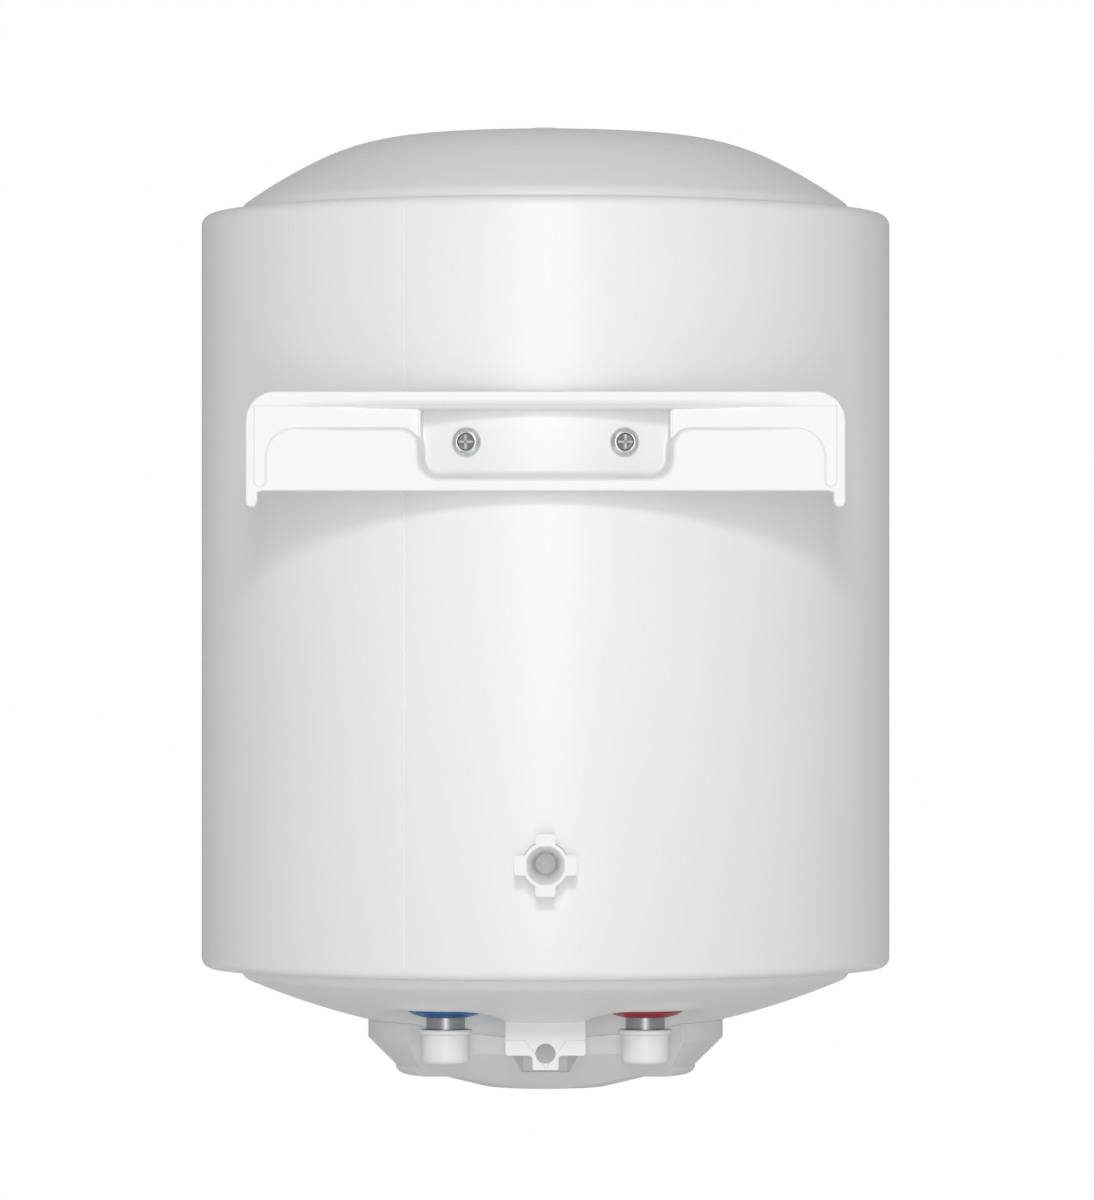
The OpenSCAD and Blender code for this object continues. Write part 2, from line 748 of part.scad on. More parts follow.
module pipe_ring(side) {
    r = ring_d / 2;
    bore = neck_d / 2 + 0.25;
    at_pipe(side) translate([0, 0, -pocket_z - 0.1]) mirror([0, 0, 1]) rotate_extrude()
        polygon(concat([[bore, 0], [r, 0]], arc(r - 0.6, 0.6, 0.6, 0, 50, 3),
            [for (i = [1:8]) let (t = i / 8) [r - 0.6 - (r - 0.6 - bore - 1) * t, 1.1 + (ring_t - 1.1) * sin(90 * t)]],
            [[bore, ring_t]]));
}

module cold_ring() { color([0.18, 0.40, 0.69]) pipe_ring(-1); }

module hot_ring() { color([0.70, 0.16, 0.24]) pipe_ring(1); }

module cap(side) {
    round = 2;
    color(colour_white) at_pipe(side) translate([0, 0, cap_top]) mirror([0, 0, 1]) rotate_extrude()
        polygon(concat(
            [[cap_r, 0], [cap_out + cap_rim - 0.6, 0]],
            arc(cap_out + cap_rim - 0.6, 0.6, 0.6, -60, 60, 5),
            [[cap_out + cap_rim - 0.8, 2.8], [cap_out, 2.8]],
            arc(cap_out - round, cap_l - round, round, 0, 90, 6),
            [[0, cap_l], [0, cap_l - 1], [cap_r, cap_l - 1]]));
}

module cold_cap() { cap(-1); }

module hot_cap() { cap(1); }

// ---- heating flange and what it carries ----

module on_axis(z) {
    translate([0, axis_y, z]) children();
}

module bolt_circle() {
    for (i = [0:flange_bolts_n - 1]) rotate(90 + i * 360 / flange_bolts_n)
        translate([flange_pcd / 2, 0, 0]) children();
}

module flange_neck() {
    color([0.25, 0.33, 0.42]) difference() {
        on_axis(flange_top) cylinder(d = flange_d, h = 14);
        on_axis(flange_top - 1) cylinder(d = access_d, h = 20);
        tank_outside(0.05);
        on_axis(flange_top - 1) bolt_circle() cylinder(d = 8.4, h = 5.2);
    }
}

module flange_gasket() {
    color([0.12, 0.12, 0.12]) on_axis(rod_foot) difference() {
        tube(flange_d / 2 - 2, access_d / 2 - 4, gasket_t);
        translate([0, 0, -1]) bolt_circle() cylinder(d = 8.4, h = 6);
    }
}

element_x = 15;
element_y = -8;
pocket_y = 17;
anode_x = 18;
anode_y = 12;

module flange_plate() {
    color(colour_steel) on_axis(plate_low) difference() {
        cylinder(d = flange_d, h = flange_t);
        translate([0, 0, -1]) {
            bolt_circle() cylinder(d = 8.4, h = 8);
            for (x = [-1, 1] * element_x) translate([x, element_y, 0]) cylinder(d = element_d + 0.1, h = 8);
            translate([0, pocket_y, 0]) cylinder(d = 10.1, h = 8);
            translate([-anode_x, anode_y, 0]) cylinder(d = 6.2, h = 8);
        }
    }
}

module flange_bolts() {
    color(colour_steel) on_axis(plate_low) bolt_circle() {
        translate([0, 0, -10]) cylinder(d = 8, h = 10 + flange_t + gasket_t + 4);
    }
}

module flange_nuts() {
    color(colour_steel) on_axis(plate_low - 6.5) bolt_circle() difference() {
        cylinder(d = 13 / cos(30), h = 6.4, $fn = 6);
        translate([0, 0, -1]) cylinder(d = 8.2, h = 9);
    }
}

// Sheathed element: two legs, a round turn at the top, terminals below the plate
module heating_element() {
    color([0.72, 0.45, 0.25]) translate([0, axis_y + element_y, plate_low]) {
        for (x = [-1, 1] * element_x) translate([x, 0, -6])
            cylinder(d = element_d, h = element_l + 6);
        translate([0, 0, element_l]) rotate([90, 0, 0]) rotate_extrude(angle = 180)
            translate([element_x, 0]) circle(d = element_d, $fn = 32);
        for (x = [-1, 1] * element_x) translate([x - 3, -0.4, -14]) cube([6, 0.8, 8.1]);
    }
}

module sensor_pocket() {
    color([0.78, 0.78, 0.8]) translate([0, axis_y + pocket_y, plate_low - 1]) difference() {
        union() {
            cylinder(d = 10, h = 170);
            translate([0, 0, 170]) sphere(d = 10, $fn = 48);
        }
        translate([0, 0, -1]) cylinder(d = 8, h = 170);
    }
}

module sensor_stem() {
    color([0.85, 0.85, 0.85]) translate([0, axis_y + pocket_y, plate_low - 1.8]) cylinder(d = 6.5, h = 150);
}

module anode_rod() {
    color([0.7, 0.7, 0.68]) translate([-anode_x, axis_y + anode_y, plate_low]) {
        translate([0, 0, -9]) cylinder(d = 6, h = 9 + flange_t + 8);
        translate([0, 0, flange_t + 6]) cylinder(d = anode_d, h = anode_l);
    }
}

module anode_nut() {
    color(colour_steel) translate([-anode_x, axis_y + anode_y, plate_low - 5]) difference() {
        cylinder(d = 10 / cos(30), h = 4.9, $fn = 6);
        translate([0, 0, -1]) cylinder(d = 6.2, h = 9);
    }
}

thermostat_x = 9;
thermostat_w = 24;
thermostat_y = 17;
thermostat_l = 36;
dial_y = 5;
button_y = 25;

module thermostat() {
    color([0.93, 0.93, 0.9]) translate([thermostat_x, axis_y, thermostat_low]) difference() {
        translate([-thermostat_w / 2, thermostat_y - thermostat_l / 2, 0])
            cube([thermostat_w, thermostat_l, thermostat_h - 2]);
        translate([0, dial_y, -1]) cylinder(d = 5.4, h = 5);
        translate([0, button_y, -1]) cylinder(d = button_d + 0.5, h = 5);
    }
}

module thermostat_dial() {
    color([0.15, 0.15, 0.16]) translate([thermostat_x, axis_y + dial_y, thermostat_low]) difference() {
        union() {
            translate([0, 0, -dial_h - 0.3]) cylinder(d = dial_d, h = dial_h);
            translate([0, 0, -1]) cylinder(d = 5, h = 4);
        }
        translate([-0.6, 0, -dial_h - 1]) cube([1.2, dial_d / 2 + 1, 2.2]);
    }
}

module reset_button() {
    color([0.75, 0.12, 0.12]) translate([thermostat_x, axis_y + button_y, thermostat_low - 2])
        cylinder(d = button_d, h = 4.2);
}

module terminal_block() {
    color([0.9, 0.9, 0.86]) translate([24, axis_y - 24, plate_low - 19]) difference() {
        cube([20, 30, 12]);
        for (i = [0:2]) translate([10, 6 + 9 * i, -1]) cylinder(d = 4.4, h = 8);
        for (i = [0:2]) translate([-1, 3.6 + 9 * i, 5]) cube([22, 4.8, 4]);
    }
}

module earth_screw() {
    color([0.8, 0.68, 0.35]) translate([-34, axis_y - 8, plate_low]) {
        translate([0, 0, -9.1]) cylinder(d = 5, h = 9);
        translate([0, 0, -4.5]) cylinder(d = 8 / cos(30), h = 3.2, $fn = 6);
    }
}

// Leads from the terminal block to the element's two ends and to the earth screw
lead_r = 1.2;

module lead_from_axis(points) {
    lead([for (p = points) [p[0], axis_y + p[1], plate_low + p[2]]], lead_r);
}

module live_wire() {
    color([0.45, 0.25, 0.12])
        lead_from_axis([[23.6, 0, -12], [22, -3.5, -13], [18.5, -6.5, -16], [15, -8, -15.4]]);
}

module neutral_wire() {
    color([0.2, 0.4, 0.75])
        lead_from_axis([[23.6, -9, -12], [17, -13.5, -14.5], [0, -15, -16], [-12, -11, -17], [-15, -8, -15.4]]);
}

module earth_wire() {
    color([0.55, 0.65, 0.15])
        lead_from_axis([[23.6, -18, -12], [10, -24, -14], [-18, -24, -13], [-33, -17, -9], [-34, -11.4, -7]]);
}

// ---- control cover ----

// Half outline of the cover, moved inwards by off; it starts above the bottom cover
function control_points(off) =
    let (
        wall = control_d / 2 - off,
        foot = control_foot_d / 2 - off,
        corner = control_toe - off,
        crown = control_crown_d / 2,
        crown_r = (crown * crown + control_crown * control_crown) / (2 * control_crown),
        crown_a = asin(crown / crown_r),
        low = -control_floor + off - control_lens - control_crown
    )
    concat(
        [[wall, -pocket_z + 30], [wall, -control_turn]],
        arc(foot - corner, -control_floor + control_toe, corner, 0, -90, 6),
        [[control_lens_d / 2, -control_floor + off]],
        [for (i = [4:-1:0]) let (a = crown_a * i / 4)
            [crown_r * sin(a), low + crown_r * (1 - cos(a))]]);

module control_solid(off) {
    turned() polygon(concat(control_points(off), [[0, -pocket_z + 30]]));
}

// Room behind the upright back wall, rounded off beyond each pipe, and the facet leaning in below it
module back_cut(in) {
    room_r = pipe_back - control_back;
    room_x = pipe_pitch / 2 - 5;
    translate([0, 0, -control_floor - 20]) {
        for (side = [-1, 1]) translate([side * room_x, pipe_y, 0]) cylinder(r = room_r + in, h = 80);
        translate([-room_x, axis_y - 140, 0]) cube([2 * room_x, 140 - control_back + in, 80]);
    }
    translate([-120, axis_y - control_back, -control_turn - control_ledge])
        rotate([control_lean, 0, 0]) translate([0, -100, -60]) cube([240, 100 + in, 120]);
}

module recess(in) {
    mouth = recess_w / 2 + in;
    back = recess_w / 2 - 6 + in;
    y0 = axis_y - control_d / 2 - 4;
    y1 = axis_y - control_back + recess_depth + in;
    translate([0, 0, -control_floor + 2.5 - in]) linear_extrude(60) polygon([
        [-mouth, y0], [mouth, y0], [mouth, axis_y - control_back + in], [back, y1], [-back, y1],
        [-mouth, axis_y - control_back + in]]);
}

module control_cover() {
    color(colour_cover) difference() {
        control_solid(0);
        bowl_clearance();
        back_cut(0);
        recess(0);
        difference() {
            control_solid(control_t);
            back_cut(control_t);
            recess(control_t);
        }
        under_floor(lamp_angle) translate([0, 0, -10]) cylinder(d = lamp_d + 0.2, h = 20);
        under_floor(grommet_angle) translate([0, 0, -10]) cylinder(d = grommet_d + 0.2, h = 20);
        for (a = cover_screw_angles) under_floor(a) translate([0, 0, -18]) cylinder(d = 4.4, h = 20);
    }
}

// The cover ends flush under the bottom cover's bowl
module bowl_clearance() {
    on_axis(bowl_centre) sphere(r = bowl_r + 0.1, $fn = 360);
}

// A place on the control cover's flat underside, +Z turned down
module under_floor(a) {
    on_axis(-control_floor) rotate(a) translate([control_ring_r, 0, 0]) mirror([0, 0, 1]) children();
}

cover_screw_angles = [28, 152];
module cover_screws() {
    color(colour_steel) for (a = cover_screw_angles) under_floor(a) difference() {
        union() {
            translate([0, 0, 0.2]) cylinder(d1 = 8, d2 = 6.4, h = 1.8);
            translate([0, 0, -14]) cylinder(d = 4, h = 15);
        }
        translate([0, 0, 1.2]) {
            for (turn = [45, 135]) rotate(turn) translate([-2, -0.4, 0]) cube([4, 0.8, 2.2]);
        }
    }
}

// Sheet tab between the pipes: a root in the bottom cover's slot, a bend, and a tongue with a hole
module fixing_tab() {
    half = tab_w / 2;
    tongue = tongue_w / 2;
    r = 1;
    shoulder = -tab_z;
    tip = shoulder - tongue_l;
    color(colour_white) difference() {
        intersection() {
            translate([-half, 0, 0]) rotate([90, 0, 90]) linear_extrude(tab_w) tab_profile();
            translate([0, axis_y, 0]) rotate([90, 0, 0]) linear_extrude(tab_back + 10) polygon(concat(
                [[-half, shoulder + 40]],
                arc(-half + r, shoulder + r, r, 180, 270, 4),
                arc(-tongue - 2, shoulder - 2, 2, 90, 0, 4),
                arc(-tongue + r, tip + r, r, 180, 270, 4),
                arc(tongue - r, tip + r, r, 270, 360, 4),
                arc(tongue + 2, shoulder - 2, 2, 180, 90, 4),
                arc(half - r, shoulder + r, r, 270, 360, 4),
                [[half, shoulder + 40]]));
        }
        translate([0, axis_y - tab_back + 6, shoulder + 1]) rotate([90, 0, 0]) cylinder(d = tab_hole_d, h = 20);
    }
}

// Side view of the tab: leaning root, then upright
module tab_profile() {
    y = axis_y - tab_back;
    bend = -tab_z + 8.5;
    top = -tab_z + 23;
    lean = 7;
    polygon([[y, -tab_z - 20], [y, bend], [y + lean, top], [y + lean + tab_t, top],
        [y + tab_t, bend - 0.4], [y + tab_t, -tab_z - 20]]);
}

module indicator_lamp() {
    color([0.95, 0.45, 0.2]) under_floor(lamp_angle) {
        translate([0, 0, -12]) cylinder(d = lamp_d, h = 12.2);
        translate([0, 0, 0.1]) cylinder(d1 = lamp_d + 2, d2 = lamp_d - 0.5, h = 1.8);
    }
}

// Rubber ring that the supply lead would pass through
module cable_grommet() {
    color([0.2, 0.2, 0.21]) under_floor(grommet_angle) difference() {
        union() {
            translate([0, 0, -control_t - 2.1]) cylinder(d = grommet_d + 4, h = 2);
            translate([0, 0, -control_t - 1]) cylinder(d = grommet_d, h = control_t + 2);
            translate([0, 0, 0.1]) cylinder(d1 = grommet_d + 4, d2 = grommet_d + 1, h = 2.2);
        }
        translate([0, 0, -10]) cylinder(d = cable_d, h = 20);
    }
}

outer_casing();
top_cover();
filling_plug();
bottom_cover();
foam_insulation();
tank_shell();
tank_top_head();
tank_bottom_head();
bracket_bosses();
wall_bracket();
bracket_screws();
spacer_socket();
wall_spacer();
cold_nipple();
hot_nipple();
cold_diffuser();
hot_outlet_tube();
cold_ring();
hot_ring();
cold_cap();
hot_cap();
flange_neck();
flange_gasket();
flange_plate();
flange_bolts();
flange_nuts();
heating_element();
sensor_pocket();
sensor_stem();
anode_rod();
anode_nut();
thermostat();
thermostat_dial();
reset_button();
terminal_block();
earth_screw();
live_wire();
neutral_wire();
earth_wire();
control_cover();
cover_screws();
fixing_tab();
indicator_lamp();
cable_grommet();
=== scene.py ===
import json
import math
import bmesh
import bpy
from mathutils import Matrix, Vector


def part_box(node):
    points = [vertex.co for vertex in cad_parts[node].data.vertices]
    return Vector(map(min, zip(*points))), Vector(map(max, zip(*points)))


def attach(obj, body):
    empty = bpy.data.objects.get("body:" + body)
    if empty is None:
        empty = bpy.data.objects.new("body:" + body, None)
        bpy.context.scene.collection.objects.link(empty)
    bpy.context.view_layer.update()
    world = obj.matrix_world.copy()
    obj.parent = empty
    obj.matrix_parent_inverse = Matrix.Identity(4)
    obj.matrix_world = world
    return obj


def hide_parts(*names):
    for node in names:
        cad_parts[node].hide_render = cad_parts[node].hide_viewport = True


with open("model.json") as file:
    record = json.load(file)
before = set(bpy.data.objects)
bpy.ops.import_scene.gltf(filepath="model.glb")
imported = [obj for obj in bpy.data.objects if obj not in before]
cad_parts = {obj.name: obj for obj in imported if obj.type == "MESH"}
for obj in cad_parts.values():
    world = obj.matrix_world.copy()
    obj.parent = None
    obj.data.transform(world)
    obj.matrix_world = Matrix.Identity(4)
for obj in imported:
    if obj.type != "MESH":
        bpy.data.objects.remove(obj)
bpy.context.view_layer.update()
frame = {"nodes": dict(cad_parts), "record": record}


# ---- the studio ----
# A pale floor under white air, and soft light from the side that faces the wall.
# The heater hangs free, so its bracket and spacer throw their shadows on the casing alone.
MM = 0.001
AXIS = (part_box("outer_casing")[0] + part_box("outer_casing")[1]) / 2
CAMERA_BACK = 3.716
CAMERA_Z = -88.2 * MM
FLOOR_Z = -0.47
FLOOR_R = 1.15
WHITE_AIR = 0.40


class Value:
    """A socket that arithmetic can be written with; each step adds a Math node."""

    def __init__(self, tree, socket):
        self.tree, self.socket = tree, socket

    def _math(self, operation, *items):
        node = self.tree.nodes.new("ShaderNodeMath")
        node.operation = operation
        for slot, item in zip(node.inputs, items):
            if isinstance(item, Value):
                self.tree.links.new(item.socket, slot)
            else:
                slot.default_value = item
        return Value(self.tree, node.outputs[0])

    def __add__(self, other):
        return self._math("ADD", self, other)

    def __radd__(self, other):
        return self._math("ADD", other, self)

    def __sub__(self, other):
        return self._math("SUBTRACT", self, other)

    def __rsub__(self, other):
        return self._math("SUBTRACT", other, self)

    def __mul__(self, other):
        return self._math("MULTIPLY", self, other)

    def __rmul__(self, other):
        return self._math("MULTIPLY", other, self)

    def step(self, low, high):
        """0 below low, 1 above high, smooth between."""
        node = self.tree.nodes.new("ShaderNodeMapRange")
        node.interpolation_type = "SMOOTHSTEP"
        self.tree.links.new(self.socket, node.inputs["Value"])
        node.inputs["From Min"].default_value = low
        node.inputs["From Max"].default_value = high
        return Value(self.tree, node.outputs["Result"])


class Finish:
    """A material under construction: its nodes, and the shader they feed."""

    def __init__(self, name):
        self.material = bpy.data.materials.new(name)
        self.material.use_nodes = True
        self.tree = self.material.node_tree
        self.shader = self.tree.nodes["Principled BSDF"]

    def feed(self, node, socket, value):
        slot = node.inputs[socket]
        if isinstance(value, Value):
            value = value.socket
        if isinstance(value, bpy.types.NodeSocket):
            self.tree.links.new(value, slot)
        else:
            slot.default_value = value

    def node(self, kind, settings=None, **values):
        """Adds a node: settings first, then its sockets, by name with _ for a space."""
        new = self.tree.nodes.new(kind)
        for key, value in (settings or {}).items():
            setattr(new, key, value)
        for key, value in values.items():
            self.feed(new, key.replace("_", " "), value)
        return new

    def set(self, **values):
        """Sets or links the shader's own sockets."""
        for key, value in values.items():
            self.feed(self.shader, key.replace("_", " "), value)

    def place(self):
        return self.node("ShaderNodeTexCoord").outputs["Object"]

    def noise(self, scale, detail=3.0, stretch=None):
        where = self.place()
        if stretch:
            where = self.node("ShaderNodeMapping", Vector=where, Scale=stretch).outputs["Vector"]
        made = self.node("ShaderNodeTexNoise", Vector=where, Scale=scale, Detail=detail)
        return Value(self.tree, made.outputs["Fac"])

    def mix(self, factor, first, second):
        made = self.node("ShaderNodeMix", {"data_type": "RGBA"})
        self.feed(made, "Factor", factor)
        made.inputs[6].default_value = (*first, 1.0)
        made.inputs[7].default_value = (*second, 1.0)
        return made.outputs[2]

    def bump(self, height, strength, distance):
        made = self.node("ShaderNodeBump", Height=height, Strength=strength, Distance=distance)
        self.feed(self.shader, "Normal", made.outputs["Normal"])


def placed(name, data):
    made = bpy.data.objects.new(name, data)
    bpy.context.collection.objects.link(made)
    return made


floor_mesh = bpy.data.meshes.new("floor")
bm = bmesh.new()
bmesh.ops.create_circle(bm, cap_ends=True, segments=128, radius=FLOOR_R,
                        matrix=Matrix.Translation((AXIS.x, AXIS.y, FLOOR_Z)))
bm.to_mesh(floor_mesh)
bm.free()
floor = placed("floor", floor_mesh)

paint = Finish("floor_paint")
paint.set(Base_Color=paint.mix(paint.noise(60.0), (0.86, 0.86, 0.86), (0.90, 0.90, 0.90)), Roughness=0.7)
centred = paint.node("ShaderNodeVectorMath", {"operation": "SUBTRACT"})
paint.tree.links.new(paint.place(), centred.inputs[0])
centred.inputs[1].default_value = (AXIS.x, AXIS.y, FLOOR_Z)
length = paint.node("ShaderNodeVectorMath", {"operation": "LENGTH"})
paint.tree.links.new(centred.outputs[0], length.inputs[0])
fade = Value(paint.tree, length.outputs["Value"]).step(FLOOR_R * 0.35, FLOOR_R * 0.97)
white_air = paint.node("ShaderNodeEmission", Color=(1, 1, 1, 1), Strength=1.0)
blend = paint.node("ShaderNodeMixShader", Fac=fade)
paint.tree.links.new(paint.shader.outputs[0], blend.inputs[1])
paint.tree.links.new(white_air.outputs[0], blend.inputs[2])
paint.tree.links.new(blend.outputs[0], paint.tree.nodes["Material Output"].inputs["Surface"])
floor.data.materials.append(paint.material)


def soft_light(name, place, wide, tall, watts):
    lamp = bpy.data.lights.new(name, "AREA")
    lamp.shape = "RECTANGLE"
    lamp.size = wide
    lamp.size_y = tall
    lamp.energy = watts
    made = placed(name, lamp)
    made.location = place
    aim = Vector((AXIS.x, AXIS.y, CAMERA_Z)) - made.location
    made.rotation_euler = aim.to_track_quat("-Z", "Y").to_euler()


soft_light("key", (AXIS.x, AXIS.y - 3.3, 1.30), 0.45, 0.45, 26)
soft_light("streak", (AXIS.x, AXIS.y - 4.4, CAMERA_Z - 0.15), 0.6, 3.2, 56)

world = bpy.data.worlds.new("white_air")
world.use_nodes = True
bpy.context.scene.world = world
air = world.node_tree
shown = air.nodes.new("ShaderNodeLightPath")
strength = air.nodes.new("ShaderNodeMapRange")
air.links.new(shown.outputs["Is Camera Ray"], strength.inputs["Value"])
strength.inputs["To Min"].default_value = WHITE_AIR
strength.inputs["To Max"].default_value = 1.0
air.links.new(strength.outputs["Result"], air.nodes["Background"].inputs["Strength"])
air.nodes["Background"].inputs["Color"].default_value = (1, 1, 1, 1)
bpy.context.scene.view_settings.view_transform = "Standard"

camera_data = bpy.data.cameras.new("camera")
camera_data.sensor_width = 36.0
camera_data.lens = 217.0
camera_data.shift_x = 0.00125
camera_data.shift_y = 0.0542
camera = placed("camera", camera_data)
camera.location = (AXIS.x, AXIS.y - CAMERA_BACK, CAMERA_Z)
camera.rotation_euler = (math.radians(90), 0, 0)
bpy.context.scene.camera = camera


# ---- outer casing ----
# One sheet of steel rolled round the foam, its ends lapped and its two rims turned inwards.
# Powder coated white, with the faint orange peel such coats have.
BODY_OF = {node: body for body, nodes in frame["record"]["behaviour"]["bodies"].items() for node in nodes}


def outline(corners, closed=False):
    """Turns (r, z, fillet) corners into a smooth outline of (r, z) points."""
    made = []
    count = len(corners)
    for index, corner in enumerate(corners):
        here = Vector(corner[:2])
        ease = corner[2] if len(corner) > 2 else 0
        if not ease or (not closed and index in (0, count - 1)):
            made.append(here)
            continue
        back = (Vector(corners[index - 1][:2]) - here).normalized()
        ahead = (Vector(corners[(index + 1) % count][:2]) - here).normalized()
        half = math.acos(max(-1, min(1, back.dot(ahead)))) / 2
        centre = here + (back + ahead).normalized() * (ease / math.sin(half))
        first = here + back * (ease / math.tan(half)) - centre
        last = here + ahead * (ease / math.tan(half)) - centre
        sweep = math.atan2(first.cross(last), first.dot(last))
        steps = max(2, round(abs(sweep) / math.radians(11)))
        for k in range(steps + 1):
            made.append(centre + Matrix.Rotation(sweep * k / steps, 2) @ first)
    return made


def spun(points, steps, closed=True):
    """A bmesh turned from an outline of (r, z) points round the z axis."""
    bm = bmesh.new()
    ring = [bm.verts.new((p[0], 0, p[1])) for p in points]
    edges = [bm.edges.new(pair) for pair in zip(ring, ring[1:])]
    if closed:
        edges.append(bm.edges.new((ring[-1], ring[0])))
    bmesh.ops.spin(bm, geom=ring + edges, cent=(0, 0, 0), axis=(0, 0, 1), angle=math.tau,
                   steps=steps, use_merge=True)
    bmesh.ops.remove_doubles(bm, verts=bm.verts, dist=1e-7)
    return bm


def piece(name, bm, node, materials, sharp=32):
    """Welds and smooths a bmesh, sets it in the CAD node's body and hides the CAD node in its place."""
    bmesh.ops.remove_doubles(bm, verts=bm.verts, dist=1e-6)
    bmesh.ops.dissolve_degenerate(bm, edges=bm.edges, dist=1e-7)
    bmesh.ops.recalc_face_normals(bm, faces=bm.faces)
    for face in bm.faces:
        face.smooth = True
    for edge in bm.edges:
        edge.smooth = edge.calc_face_angle(0) < math.radians(sharp)
    mesh = bpy.data.meshes.new(name)
    bm.to_mesh(mesh)
    bm.free()
    for material in materials:
        mesh.materials.append(material)
    made = placed(name, mesh)
    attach(made, BODY_OF[node])
    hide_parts(node)
    return made


def white(name, colour, roughness, grain_scale, grain):
    made = Finish(name)
    tone = made.noise(9.0, 4.0)
    made.set(Base_Color=made.mix(tone.step(0.35, 0.65), tuple(c * 0.985 for c in colour), colour),
             Roughness=roughness + (tone - 0.5) * 0.06)
    made.bump(made.noise(grain_scale, 2.0), grain, 0.0002)
    return made.material


enamel = white("white_powder_coat", (0.90, 0.90, 0.90), 0.40, 900.0, 0.05)

low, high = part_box("outer_casing")
CASING_R = (high.x - low.x) / 2 - 0.04 * MM
CASING_TOP, CASING_LOW = high.z, low.z
CASING_T = 0.8 * MM
ROLL = 5.5 * MM
FLANGE = 20.2 * MM
SEAM = math.radians(-90 - 23.1)
r_in = CASING_R - FLANGE
t = CASING_T
bm = spun(outline([
    (r_in, CASING_TOP - t), (r_in, CASING_TOP), (CASING_R, CASING_TOP, ROLL), (CASING_R, CASING_LOW, ROLL),
    (r_in, CASING_LOW), (r_in, CASING_LOW + t), (CASING_R - t, CASING_LOW + t, ROLL - t),
    (CASING_R - t, CASING_TOP - t, ROLL - t)], closed=True), 300)
bmesh.ops.rotate(bm, verts=bm.verts, cent=(0, 0, 0), matrix=Matrix.Rotation(SEAM, 3, "Z"))
seam = []
for edge in bm.edges:
    a, b = (v.co for v in edge.verts)
    if abs(a.z - b.z) > 0.1 and min(math.hypot(a.x, a.y), math.hypot(b.x, b.y)) > CASING_R - t / 2:
        angle = math.atan2(a.y, a.x) - SEAM
        if abs(math.atan2(math.sin(angle), math.cos(angle))) < 0.002:
            seam.append(edge)
SEAM_HALF, SEAM_DEPTH = 0.42 * MM, 0.5 * MM
eased = bmesh.ops.bevel(bm, geom=seam, offset=SEAM_HALF, segments=2, profile=0.5, affect="EDGES",
                        material=-1)
for vert in eased["verts"]:
    angle = math.atan2(vert.co.y, vert.co.x) - SEAM
    if abs(math.atan2(math.sin(angle), math.cos(angle))) * CASING_R < 0.1 * MM:
        vert.co.x *= 1 - SEAM_DEPTH / CASING_R
        vert.co.y *= 1 - SEAM_DEPTH / CASING_R
bmesh.ops.translate(bm, vec=(AXIS.x, AXIS.y, 0), verts=bm.verts)
casing = piece("casing_sheet", bm, "outer_casing", [enamel], sharp=40)

SOCKET_HOLE_R = 11.3 * MM
HOLE = Vector((AXIS.x, 0, (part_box("wall_spacer")[0].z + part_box("wall_spacer")[1].z) / 2))
cutter_mesh = bpy.data.meshes.new("hole_cutter")
bm = bmesh.new()
where = Matrix.Translation(HOLE + Vector((0, 0.02, 0))) @ Matrix.Rotation(math.radians(90), 4, "X")
bmesh.ops.create_cone(bm, cap_ends=True, segments=96, radius1=SOCKET_HOLE_R, radius2=SOCKET_HOLE_R,
                      depth=0.06, matrix=where)
bm.to_mesh(cutter_mesh)
bm.free()
cutter = placed("hole_cutter", cutter_mesh)
cut = casing.modifiers.new("hole", "BOOLEAN")
cut.object = cutter
cut.operation = "DIFFERENCE"
cut.solver = "EXACT"
holed = bpy.data.meshes.new_from_object(casing.evaluated_get(bpy.context.evaluated_depsgraph_get()))
casing.modifiers.remove(cut)
casing.data = holed
bpy.data.objects.remove(cutter)
bpy.data.meshes.remove(cutter_mesh)


# ---- top cover and its plug ----
# A white moulded dome whose rounded edge drops inside the casing's upper rim.
# The plug in its crown closes the hole that the foam was poured through.
plastic = white("white_plastic_satin", (0.91, 0.91, 0.91), 0.45, 1400.0, 0.04)


def arc(cx, cz, radius, start, end, steps):
    return [Vector((cx + radius * math.cos(math.radians(start + (end - start) * k / steps)),
                    cz + radius * math.sin(math.radians(start + (end - start) * k / steps))))
            for k in range(steps + 1)]


COVER_R = CASING_R - FLANGE - 0.3 * MM
COVER_T = 2 * MM
COVER_EDGE = 6 * MM
CROWN_R, SHOULDER_R, FLANK_R = 1100 * MM, 123 * MM, 260 * MM
CROWN_A, FLANK_A = 3.7, 26.0
DOME_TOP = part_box("top_cover")[1].z
SKIRT = 7 * MM


def dome(inset):
    lift = DOME_TOP - CROWN_R
    shoulder_x = (CROWN_R - SHOULDER_R) * math.sin(math.radians(CROWN_A))
    shoulder_z = lift + (CROWN_R - SHOULDER_R) * math.cos(math.radians(CROWN_A))
    flank_x = shoulder_x + (SHOULDER_R - FLANK_R) * math.sin(math.radians(FLANK_A))
    flank_z = shoulder_z + (SHOULDER_R - FLANK_R) * math.cos(math.radians(FLANK_A))
    edge_x = COVER_R - COVER_EDGE
    turn = math.degrees(math.asin((edge_x - flank_x) / (FLANK_R - COVER_EDGE)))
    edge_z = flank_z + (FLANK_R - COVER_EDGE) * math.cos(math.radians(turn))
    return (arc(0, lift, CROWN_R - inset, 90, 90 - CROWN_A, 12)
            + arc(shoulder_x, shoulder_z, SHOULDER_R - inset, 90 - CROWN_A, 90 - FLANK_A, 14)[1:]
            + arc(flank_x, flank_z, FLANK_R - inset, 90 - FLANK_A, 90 - turn, 14)[1:]
            + arc(edge_x, edge_z, COVER_EDGE - inset, 90 - turn, 0, 10)[1:])


